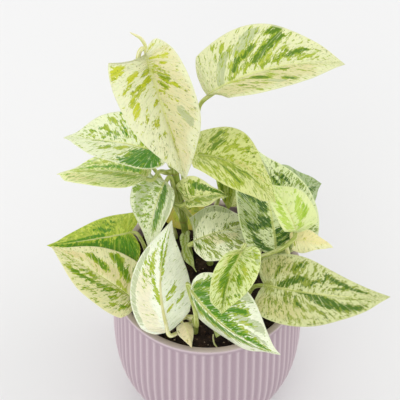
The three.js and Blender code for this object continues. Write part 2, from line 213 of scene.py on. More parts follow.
def pot_mesh():
    sides = RIB_COUNT * COLUMNS_PER_RIB
    angle = np.arange(sides) * 2 * math.pi / sides
    flute = np.abs(np.sin(angle * RIB_COUNT / 2)) ** (2 * RIB_SHARPNESS)
    wall = smooth_line(np.c_[WALL_RADII, WALL_HEIGHTS], np.linspace(0, len(WALL_RADII) - 1, WALL_RINGS))
    low_end = np.clip((wall[:, 1] - RIB_FOOT) / RIB_FOOT_FADE, 0, 1)
    fade = low_end * np.clip((RIB_TOP - 0.4 - wall[:, 1]) / RIB_TOP_FADE, 0, 1)
    turn = np.linspace(0, math.pi / 2, 5)
    falls = EDGE_ROUND * (1 - np.cos(turn))
    rises = EDGE_ROUND * (1 - np.sin(turn))
    outer_edge = np.c_[RIM_RADIUS - falls, POT_HEIGHT - rises]
    inner_edge = np.c_[RIM_RADIUS - RIM_WIDTH + rises, POT_HEIGHT - falls]
    profile = np.vstack([FOOT, wall, outer_edge, inner_edge, INSIDE])
    ribs = [0] * len(FOOT) + list(fade) + [0] * (len(profile) - len(FOOT) - len(fade))
    rings = []
    crest_highlight = []
    for (radius, height), rib in zip(profile, ribs):
        r = radius - RIB_DEPTH * rib * flute
        rings.append(np.c_[r * np.cos(angle), r * np.sin(angle), np.full(sides, height)])
        # Painted highlight: a paler share along each rib crest and round the outer lip, where they catch the
        # light.
        lip = math.exp(-((radius - RIM_RADIUS) ** 2 + (height - POT_HEIGHT + 0.3) ** 2) / 1.5)
        crest_highlight.append(rib * (1 - flute) ** 2 + lip)
    return *closed(rings), np.concatenate(crest_highlight)


def glaze():
    material, start, shader = finish("mauve_glaze", {"IOR": 1.48, "Specular IOR Level": 0.6})
    place = start.node("TexCoord", {}, {}, out=3)
    cloud = place.grain(9.0, 4.0)
    speck = place.grain(900.0, 2.0, 0.6)
    on_rim = place.axis(2).rise((POT_HEIGHT - 0.25) * MM, (POT_HEIGHT - 0.05) * MM)
    body = (cloud * 0.9 - 0.1).blend(GLAZE, GLAZE_CLOUD)
    # Painted reflection: the top of the rim is tinted tan, with the plant above reflected in it.
    body = on_rim.blend(body, GLAZE_RIM_REFLECTION)
    # Painted highlight: paler pink on the rib crests and the lip.
    body = (start.fact("crest_highlight", out=2) * 0.7 + (speck - 0.5) * 0.25).blend(body, GLAZE_HIGHLIGHT)
    body = speck.rise(0.66, 0.74).blend(body, GLAZE_SPECK)
    feed(start, shader, Base_Color=body, Roughness=cloud * 0.2 + 0.42,
         Normal=relief(start, speck * 0.3 + place.grain(160.0, 3.0) * 0.7, 0.12))
    return material


pot_points, pot_faces, pot_crest_highlight = pot_mesh()
piece("ribbed_pot", pot_points, pot_faces, glaze(), "pot_glaze", ["pot"], {"crest_highlight": pot_crest_highlight})

# The soil: dark potting mix of bark and fibre, filled in a little below the rim and pressed up round the
# stems. Its top is a crumbly sheet, and loose crumbs of many sizes lie on it.
SOIL_EDGE = 126
SOIL_RISE = 4
SOIL_RADIUS = 64.4
SOIL_FOOT = [(42, 8.5), (SOIL_RADIUS, 62)]
SOIL_RINGS = 88
SOIL_SIDES = 264
LUMP_SIZE = 9
LUMP_LIFT = 1.3
GRAIN_SIZE = 2.6
GRAIN_LIFT = 0.9
CRUMB_COUNT = 760
CRUMB_SIZES = (0.7, 2.6)
CRUMB_STRETCH = (0.55, 1.25)
CRUMB_DENTS = 0.35
CRUMB_SEAT = 0.2
SOIL_DARK = "#120d0b"
SOIL_LIGHT = "#4b382c"
FIBRE_BROWN = "#7a5c46"
GRIT_PALE = "#a8957f"
draw = np.random.default_rng(7)


def soil_height(radius):
    return SOIL_EDGE + SOIL_RISE * np.cos(0.5 * math.pi * radius / RIM_RADIUS)


def crumble(x, y):
    """How far the soil's top stands above or below its smooth height, less at the pot's wall."""
    lumps = noise.fractal(Vector((x / LUMP_SIZE, y / LUMP_SIZE, 0.3)), 0.9, 2.1, 3)
    grains = noise.fractal(Vector((x / GRAIN_SIZE, y / GRAIN_SIZE, 4.7)), 0.8, 2.0, 3)
    at_wall = min(1, (SOIL_RADIUS + 2 - math.hypot(x, y)) / 4)
    return (LUMP_LIFT * lumps + GRAIN_LIFT * grains) * at_wall


def soil_mesh():
    turn = np.arange(SOIL_SIDES) * 2 * math.pi / SOIL_SIDES
    around = np.c_[np.cos(turn), np.sin(turn)]
    rings = [np.c_[radius * around, np.full(SOIL_SIDES, height)] for radius, height in SOIL_FOOT]
    for radius in SOIL_RADIUS * (1 - np.arange(SOIL_RINGS) / SOIL_RINGS):
        lift = [crumble(x, y) for x, y in radius * around]
        rings.append(np.c_[radius * around, soil_height(radius) + lift])
    return closed(rings)


def crumb_shape():
    """A small round lump of 42 points, as a base for every loose crumb."""
    t = (1 + math.sqrt(5)) / 2
    corners = [(-1, t, 0), (1, t, 0), (-1, -t, 0), (1, -t, 0), (0, -1, t), (0, 1, t),
               (0, -1, -t), (0, 1, -t), (t, 0, -1), (t, 0, 1), (-t, 0, -1), (-t, 0, 1)]
    faces = [(0, 11, 5), (0, 5, 1), (0, 1, 7), (0, 7, 10), (0, 10, 11), (1, 5, 9), (5, 11, 4),
             (11, 10, 2), (10, 7, 6), (7, 1, 8), (3, 9, 4), (3, 4, 2), (3, 2, 6), (3, 6, 8),
             (3, 8, 9), (4, 9, 5), (2, 4, 11), (6, 2, 10), (8, 6, 7), (9, 8, 1)]
    points = [np.array(c) / math.hypot(1, t) for c in corners]
    halves = {}
    split = []
    for a, b, c in faces:
        middle = []
        for p, q in ((a, b), (b, c), (c, a)):
            key = (min(p, q), max(p, q))
            if key not in halves:
                halves[key] = len(points)
                between = points[p] + points[q]
                points.append(between / np.linalg.norm(between))
            middle.append(halves[key])
        ab, bc, ca = middle
        split += [(a, ab, ca), (b, bc, ab), (c, ca, bc), (ab, bc, ca)]
    return np.array(points), split


def loose_crumbs():
    shape, shape_faces = crumb_shape()
    points = []
    faces = []
    for k in range(CRUMB_COUNT):
        radius = SOIL_RADIUS * 0.97 * math.sqrt(draw.random())
        turn = 2 * math.pi * draw.random()
        x, y = radius * math.cos(turn), radius * math.sin(turn)
        size = CRUMB_SIZES[0] + (CRUMB_SIZES[1] - CRUMB_SIZES[0]) * draw.random() ** 3
        stretch = draw.uniform(*CRUMB_STRETCH, 3)
        dents = [1 + CRUMB_DENTS * noise.noise(Vector(p * 1.7) + Vector((k, 0, 0))) for p in shape]
        spin = np.linalg.qr(draw.normal(size=(3, 3)))[0]
        spin *= np.sign(np.linalg.det(spin))
        lump = (shape * np.array(dents)[:, None] * stretch * size * 0.5) @ spin.T
        height = soil_height(radius) + crumble(x, y) + CRUMB_SEAT * size
        faces += [tuple(len(shape) * k + i for i in face) for face in shape_faces]
        points.append(lump + [x, y, height])
    return np.vstack(points), faces


def potting_mix():
    material, start, shader = finish("potting_mix", {"Specular IOR Level": 0.2})
    place = start.node("TexCoord", {}, {}, out=3)
    clumps = place.grain(140.0, 4.0, 0.6)
    grit = place.grain(900.0, 3.0, 0.7)
    fibre = place.times((1.0, 5.0, 1.0)).grain(260.0, 2.0)
    body = (clumps * 0.6 + grit * 0.4).rise(0.4, 0.72).blend(SOIL_DARK, SOIL_LIGHT)
    body = fibre.rise(0.66, 0.74).blend(body, FIBRE_BROWN)
    body = place.plus((0.3, 0.1, 0.0)).grain(420.0, 1.0).rise(0.71, 0.74).blend(body, GRIT_PALE)
    feed(start, shader, Base_Color=body, Roughness=grit * 0.3 + 0.65,
         Normal=relief(start, clumps * 0.5 + grit * 0.5, 0.5))
    return material


soil_finish = potting_mix()
piece("soil_bed", *soil_mesh(), soil_finish, "soil", ["soil"])
piece("soil_crumbs", *loose_crumbs(), soil_finish, "soil", [])

# The vine: five green stems rooted in the soil, one tall and four short. They are round and smooth, swell at
# each knot where a leaf stalk leaves them, and show a thin brown scar ring there.
STEMS = {
    "stem_tall": (2.6, [[-13, 22, 118], [-13, 22, 128], [-15, 24, 142], [-20, 28, 190],
                        [-26, 32, 240], [-32, 35, 285], [-39, 37, 316]]),
    "stem_middle": (2.4, [[2, 14, 118], [2, 14, 128], [2, 14, 140], [1, 12, 160], [-1, 10, 176]]),
    "stem_right": (2.4, [[28, 2, 118], [28, 2, 128], [29, 2, 140], [33, 0, 158], [37, -2, 170]]),
    "stem_front": (2.3, [[-9, -45, 118], [-9, -45, 128], [-9, -45, 138], [-10, -46, 147]]),
    "stem_left": (2.3, [[-34, 2, 118], [-34, 2, 128], [-35, 2, 140], [-36, 2, 150]]),
}
KNOTS = {
    "stem_tall": [0.25, 0.36, 0.42, 0.5, 0.56, 0.62, 0.8, 0.93],
    "stem_middle": [0.5, 0.85, 0.95],
    "stem_right": [0.45, 0.6, 0.75, 0.97],
    "stem_front": [0.75, 0.95],
    "stem_left": [0.6, 0.9],
}
STEM_SIDES = 20
STEM_STEP = 1.0
STEM_END = 2.4
KNOT_SWELL = 0.55
KNOT_LENGTH = 2.6
SCAR_SWELL = 0.16
SCAR_LENGTH = 0.5
SCAR_STAIN = 0.7
STEM_GREEN = "#86993f"
STEM_LIGHT = "#9aa94f"
STEM_PALE = "#c3c888"
SCAR_BROWN = "#8a7146"


class Route:
    """A smooth line through points, as a grown stem takes it. Places on it are shares of its length."""

    def __init__(self, points, per_leg=16):
        points = np.asarray(points, float)
        ends = np.vstack([2 * points[0] - points[1], points, 2 * points[-1] - points[-2]])
        line = []
        for p0, p1, p2, p3 in zip(ends, ends[1:], ends[2:], ends[3:]):
            gaps = [max(1e-6, np.linalg.norm(b - a)) ** 0.5 for a, b in ((p0, p1), (p1, p2), (p2, p3))]
            t0, t1, t2, t3 = np.cumsum([0] + gaps)
            for t in np.linspace(t1, t2, per_leg, endpoint=False):
                a1 = ((t1 - t) * p0 + (t - t0) * p1) / (t1 - t0)
                a2 = ((t2 - t) * p1 + (t - t1) * p2) / (t2 - t1)
                a3 = ((t3 - t) * p2 + (t - t2) * p3) / (t3 - t2)
                b1 = ((t2 - t) * a1 + (t - t0) * a2) / (t2 - t0)
                b2 = ((t3 - t) * a2 + (t - t1) * a3) / (t3 - t1)
                line.append(((t2 - t) * b1 + (t - t1) * b2) / (t2 - t1))
        line.append(points[-1])
        self.line = np.array(line)
        steps = np.linalg.norm(np.diff(self.line, axis=0), axis=1)
        self.far = np.concatenate([[0], np.cumsum(steps)])
        self.length = self.far[-1]

    def at(self, share):
        far = np.atleast_1d(share) * self.length
        return np.stack([np.interp(far, self.far, self.line[:, k]) for k in range(3)], 1)

    def heading(self, share):
        step = 0.5 / self.length
        ahead = self.at(np.clip(np.atleast_1d(share) + step, 0, 1)) - self.at(np.clip(share - step, 0, 1))
        return ahead / np.linalg.norm(ahead, axis=1)[:, None]


def tube(route, radius_at, sides, step):
    """A closed tube along a route. Its facts are the place round it, and the millimetres along it."""
    count = max(4, int(route.length / step))
    share = np.linspace(0, 1, count + 1)
    centres = route.at(share)
    heads = route.heading(share)
    across = np.cross(heads[0], [0.31, 0.94, 0.12])
    across /= np.linalg.norm(across)
    turn = np.arange(sides) * 2 * math.pi / sides
    rings = []
    facts = []
    for centre, head, s in zip(centres, heads, share):
        across = across - head * (across @ head)
        across /= np.linalg.norm(across)
        other = np.cross(head, across)
        radius = radius_at(s, turn)
        sideways = (radius * np.cos(turn))[:, None] * across
        rings.append(centre + sideways + (radius * np.sin(turn))[:, None] * other)
        facts.append(np.c_[np.cos(turn), np.sin(turn), np.full(sides, s * route.length)])
    return *closed(rings), np.vstack(facts)


def stem_mesh(name):
    radius, path = STEMS[name]
    route = Route(path)
    knots = np.array(KNOTS[name]) * route.length

    def radius_at(share, turn):
        far = share * route.length
        swell = np.exp(-((far - knots) / KNOT_LENGTH) ** 2).max()
        ring = np.exp(-((far - knots) / SCAR_LENGTH) ** 2).max()
        end = math.sqrt(max(0.02, 1 - max(0, (far - route.length + STEM_END) / STEM_END) ** 2))
        return radius * (1 + 0.03 * np.cos(3 * turn)) * end + (KNOT_SWELL * swell + SCAR_SWELL * ring) * end

    points, faces, facts = tube(route, radius_at, STEM_SIDES, STEM_STEP)
    scar = np.exp(-((facts[:, 2][:, None] - knots) / SCAR_STAIN) ** 2).max(1)
    return points, faces, {"grow": facts, "scar": scar}


def sappy(shine, depth, scale=0.002, radius=(0.6, 1.0, 0.3)):
    """The gloss of living green tissue, which lets a little light in."""
    return {"Specular IOR Level": shine, "Subsurface Weight": depth, "Subsurface Scale": scale,
            "Subsurface Radius": radius}


def green_stem():
    material, start, shader = finish("green_stem", sappy(0.45, 0.15))
    grow = start.fact("grow")
    scar = start.fact("scar", out=2)
    stripe = grow.times((1.0, 1.0, 0.05)).grain(2.2, 4.0, 0.6)
    cloud = grow.times((1.0, 1.0, 0.2)).grain(1.0, 3.0)
    body = cloud.rise(0.35, 0.7).blend(STEM_GREEN, STEM_LIGHT)
    body = stripe.rise(0.54, 0.66).blend(body, STEM_PALE)
    body = (scar * 0.7).blend(body, SCAR_BROWN)
    feed(start, shader, Base_Color=body, Roughness=cloud * 0.2 + 0.35,
         Normal=relief(start, stripe + scar * cloud, 0.25))
    return material


stem_finish = green_stem()
for stem in STEMS:
    stem_points, stem_faces, stem_facts = stem_mesh(stem)
    piece(stem + "_vine", stem_points, stem_faces, stem_finish, "stem", [stem], stem_facts)

# The leaves: thin heart-shaped blades, each on its own stalk. The midrib is sunk above and stands out below,
# side veins sweep from it to the margin, and cream, pale and deep green lie in streaks along those veins.
SIDE_VEINS = [
    (0, 0, 0), (0.005, -0.075, 0.2), (0.015, -0.11, 0.46), (0.03, -0.06, 0.73), (0.06, 0.06, 0.92),
    (0.13, 0.23, 1), (0.26, 0.42, 0.92), (0.43, 0.6, 0.7), (0.62, 0.77, 0.41), (0.82, 0.9, 0.16), (1, 1, 0),
]
TIP_ROW = 10
VEIN_SWEEP = 1.3
WAVES_ALONG = 1.6
WAVE_SHIFT = 2
BLADE_ROWS = 84
FIRST_ROW = 0.12
LAST_ROW = 9.96
BLADE_STEPS = [0, 0.014, 0.032, 0.056, 0.09, 0.135, 0.19, 0.255, 0.33, 0.41, 0.5, 0.59, 0.68, 0.77, 0.85,
               0.915, 0.965, 1]
BLADE_HALF = 0.3
MARGIN_HALF = 0.16
FULL_WIDTH = 45
QUILT = 0.5
QUILT_LEVEL = 0.45
QUILT_SLANT = 0.25
LUMP_HEIGHT = 0.5
LUMP_GRAIN = (0.9, 2.4, 1.7)
FRILL_HEIGHT = 0.35
FRILL_GRAIN = 2.4
HEEL_FADE = 1.2
TIP_FADE = 1.8
GROOVE_DEPTH = 0.4
GROOVE_WIDTH = 1.1
GROOVE_FADE = 4
GROOVE_UNDER = 0.6
STALK_RADIUS = 1.5
STALK_FOOT_RADIUS = 2.0
STALK_SIDES = 18
STALK_STEP = 1.6
STALK_OVAL = 0.05
FOOT_FLARE = 0.5
FLARE_LENGTH = 4
GAP = 0.3
FOOT_LENGTH = 3
HOLE_DEPTH = 16
HOOK_BACK = 3.5
HOOK_DROP = 2.4
STALK_END = 0.07
HEEL_BLEND = 5
RIDGE_END = 0.74
RIDGE_STEPS = (0, 0.14, 0.35, 0.66, 1)
RIDGE_RADIUS = 1.3
RIDGE_POINT = 0.12
RIDGE_SINK = 0.2
LEAVES = {
    "leaf_top_right": dict(
        base=[-1, 27, 300], tip=[93, 61, 294], width=67, roll=3, arch=0.06, sweep=-0.06, twist=30,
        heel=[-0.1, -0.06], fold=[23, 24], lobes=[0.2, -0.3], start=["stem_tall", 0.42, [1, 1, 0]],
        via=[[-19, 37, 224], [-14, 37, 246], [-8, 36, 268]]),
    "leaf_top_left": dict(
        base=[-41, 36, 330], tip=[-15, -7, 254], width=65, roll=20, arch=0.06, twist=-18,
        heel=[-0.03, 0.02], fold=[42, 38], lobes=[0.8, -0.3], start=["stem_tall", 0.93, [-1, 0, 0]],
        via=[[-46, 33.5, 321], [-44.5, 38.5, 330]]),
    "leaf_left_high": dict(
        base=[-33, 17, 254], tip=[-101, 43, 239], width=56, roll=6, arch=0.05, heel=[0, -0.12],
        fold=[14, 14], lobes=[1, -0.3], start=["stem_tall", 0.56, [-0.2, -1, 0]]),
    "leaf_left_upper": dict(
        base=[-42, 14, 232], tip=[-108, 39, 204], width=56, roll=20, arch=0.06, heel=[-0.15, -0.15],
        fold=[4, 0], lobes=[0.6, 0.3], start=["stem_tall", 0.5, [-1, 0, 0]], via=[[-34, 22, 227]]),
    "leaf_middle_left": dict(
        base=[-30, 22, 217.5], tip=[-43, 3.5, 165.5], width=52, roll=17, arch=0.06, heel=[0, -0.05],
        fold=[24, 6], lobes=[0.2, -0.2], start=["stem_tall", 0.36, [-0.3, -1, 0]]),
    "leaf_left_middle": dict(
        base=[-56, 16, 166], tip=[-117, 10, 158], width=50, roll=-4, arch=-0.02, heel=[0.03, 0.08],
        fold=[-22, -18], lobes=[0.6, 0.5], start=["stem_left", 0.9, [-1, 0.4, 0]]),
    "leaf_left_low": dict(
        base=[-51, -33, 149], tip=[-113, 3, 166], width=48, roll=-5, arch=0.05, heel=[-0.04, 0],
        fold=[16, 10], lobes=[0.35, 1], start=["stem_left", 0.6, [-0.5, -1, 0]]),
    "leaf_front_white": dict(
        base=[-28, -64, 156], tip=[-25, -6, 208], width=55, roll=-5, arch=0.05, sweep=-0.08,
        heel=[-0.05, -0.1], fold=[-29, -46], lobes=[0.3, 0.2], start=["stem_front", 0.75, [-1, -0.4, 0]]),
    "leaf_front": dict(
        base=[-12, -56, 196], tip=[50, -83, 156], width=60, roll=48, sweep=0.09, heel=[-0.1, -0.3],
        fold=[7, -60], lobes=[1.1, -0.6], start=["stem_front", 0.95, [0.3, -1, 0]], via=[[-9, -56, 170]]),
    "leaf_centre": dict(
        base=[23, -45, 226], tip=[9, -70, 186], width=37, roll=-16, arch=0.08, sweep=0.04,
        heel=[0, -0.14], fold=[30, 52], lobes=[1, 0.1], start=["soil", 18, -22],
        via=[[18, -25, 152], [17, -37, 185]]),
    "leaf_centre_back": dict(
        base=[-10, -14, 195], tip=[40, 13, 174], width=44, arch=0.1, heel=[-0.12, 0],
        fold=[6, -6], lobes=[-0.3, 0.4], start=["stem_middle", 0.9, [-0.6, -1, 0]]),
    "leaf_right_large": dict(
        base=[49, -9, 171], tip=[33, 57, 213], width=68, roll=12, arch=0.08, heel=[-0.18, -0.08],
        fold=[25, 15], lobes=[0, 0], start=["stem_right", 0.75, [1, -0.2, 0]]),
    "leaf_right_small": dict(
        base=[62, -9, 198], tip=[42, 14, 224], width=36, roll=12, arch=0.1, heel=[-0.25, -0.08],
        fold=[20, 37], lobes=[-0.5, 0.3], start=["stem_right", 0.97, [0, -1, 0]],
        via=[[38, -17, 181], [54, -16, 191]]),
    "leaf_middle_high": dict(
        base=[-13, 14, 254], tip=[46, -15, 238], width=60, roll=-6, arch=0.22, heel=[0.04, -0.25],
        fold=[12, 32], bend=[-8, -12], lobes=[0.2, 0], start=["stem_tall", 0.62, [1, -1, 0]]),
    "leaf_back_right": dict(
        base=[47, 34, 184], tip=[86, 70, 156], width=44, roll=35, arch=0.06,
        fold=[-5, -5], start=["stem_right", 0.6, [0.3, 1, 0]]),
    "leaf_right_cream": dict(
        base=[59, -5, 183.5], tip=[89, -7, 178], width=17, arch=0.1,
        fold=[14, -40], lobes=[0.3, -0.5], start=["soil", 44, -12], via=[[51, -19, 163], [57, -16, 177]]),
    "leaf_front_right": dict(
        base=[39, -40, 179], tip=[127, -47, 174], width=56, roll=3, arch=0.06, sweep=0.08,
        heel=[0.09, 0], fold=[5, 0], lobes=[0.5, 0.1], start=["soil", 28, -30], via=[[30, -32, 160]]),
    "leaf_middle_under": dict(
        base=[-16, 8, 212], tip=[14, 17, 206], width=42, roll=-20, arch=0.1,
        fold=[14, 14], lobes=[0, 0.4], start=["stem_middle", 0.85, [-1, 1, 0]],
        via=[[-17, 17, 192], [-23, 10, 206]]),
    "leaf_middle_hanging": dict(
        base=[13, 36, 222], tip=[15, 30, 174], width=18, arch=0.05,
        fold=[10, 10], start=["stem_middle", 0.95, [0.3, 1, 0]], via=[[8, 30, 190], [10, 38, 212]]),
    "leaf_shaded": dict(
        base=[-26, 49, 152], tip=[12, 28, 148], width=28, arch=0.1,
        fold=[-10, -10], start=["soil", -24, 40]),
    "leaf_narrow": dict(
        base=[-16, 9, 170], tip=[-8, -14, 158], width=13, roll=70, arch=0.08,
        fold=[10, 10], start=["soil", -20, 10]),
    "leaf_low": dict(
        base=[15, -35, 150], tip=[6, -57, 138], width=32, arch=0.1,
        fold=[-10, -10], start=["soil", 8, -26]),
    "leaf_back_middle": dict(
        base=[27, 46, 164], tip=[40, 92, 148], width=36, arch=0.12,
        fold=[10, 10], bend=[-10, -10], start=["stem_right", 0.45, [-0.2, 1, 0]]),
    "leaf_back_low": dict(
        base=[41, 44, 146], tip=[68, 74, 140], width=34, arch=0.12,
        fold=[10, 10], bend=[-10, -10], start=["soil", 30, 30]),
    "leaf_back_left": dict(
        base=[-42, 60, 190], tip=[-80, 88, 168], width=40, arch=0.12,
        fold=[10, 10], bend=[-10, -10], start=["stem_tall", 0.25, [-0.5, 1, 0]]),
    "sheath": dict(
        base=[-17, -54, 152], tip=[-11.5, -68.5, 142.5], width=14, roll=-10, arch=0.1, wave=0.3,
        fold=[-30, -30], lobes=[0.3, 0.3], start=["stem_front", 0.96, [-1, 0.3, 0]]),
}


# The leaves' markings. A stroke of ink or tint has its start and its end (side vein, then how far out from
# the midrib, negative on the left half) and half its width in millimetres. A fine stroke only thickens the
# streaks round it. Each grain says how fine a pattern is per millimetre, along the blade and across it.
FINE_COVER = 0.46
FINE_REACH = 1.8
STROKE_COVER = 0.8
STROKE_REACH = 1.5
DEEP_HALO = 1.2
STREAK_GRAIN = (0.8, 0.17, 1)
FRAY_GRAIN = (1.2, 0.24, 1)
CLOUD_GRAIN = (0.1, 0.07, 1)
SPECK_GRAIN = (1.1, 0.42, 1)
THREAD_GRAIN = (1.5, 0.06, 1)
FIBRE_GRAIN = (3.2, 0.5, 1)
# The beige tint darkens the cream by these shares. It is the blade's own beige on some leaves and painted
# shade on others, where a half of the blade is turned from the light.
BEIGE_AND_SHADE = (0.95, 0.87, 0.77, 1)
WASH_GREEN = "#a9b684"
YELLOW_GREEN = "#b2be3e"
SPECK_BROWN = "#727e22"
RIB_PALE = "#dde28e"
UNDER_PALE = "#ced78a"
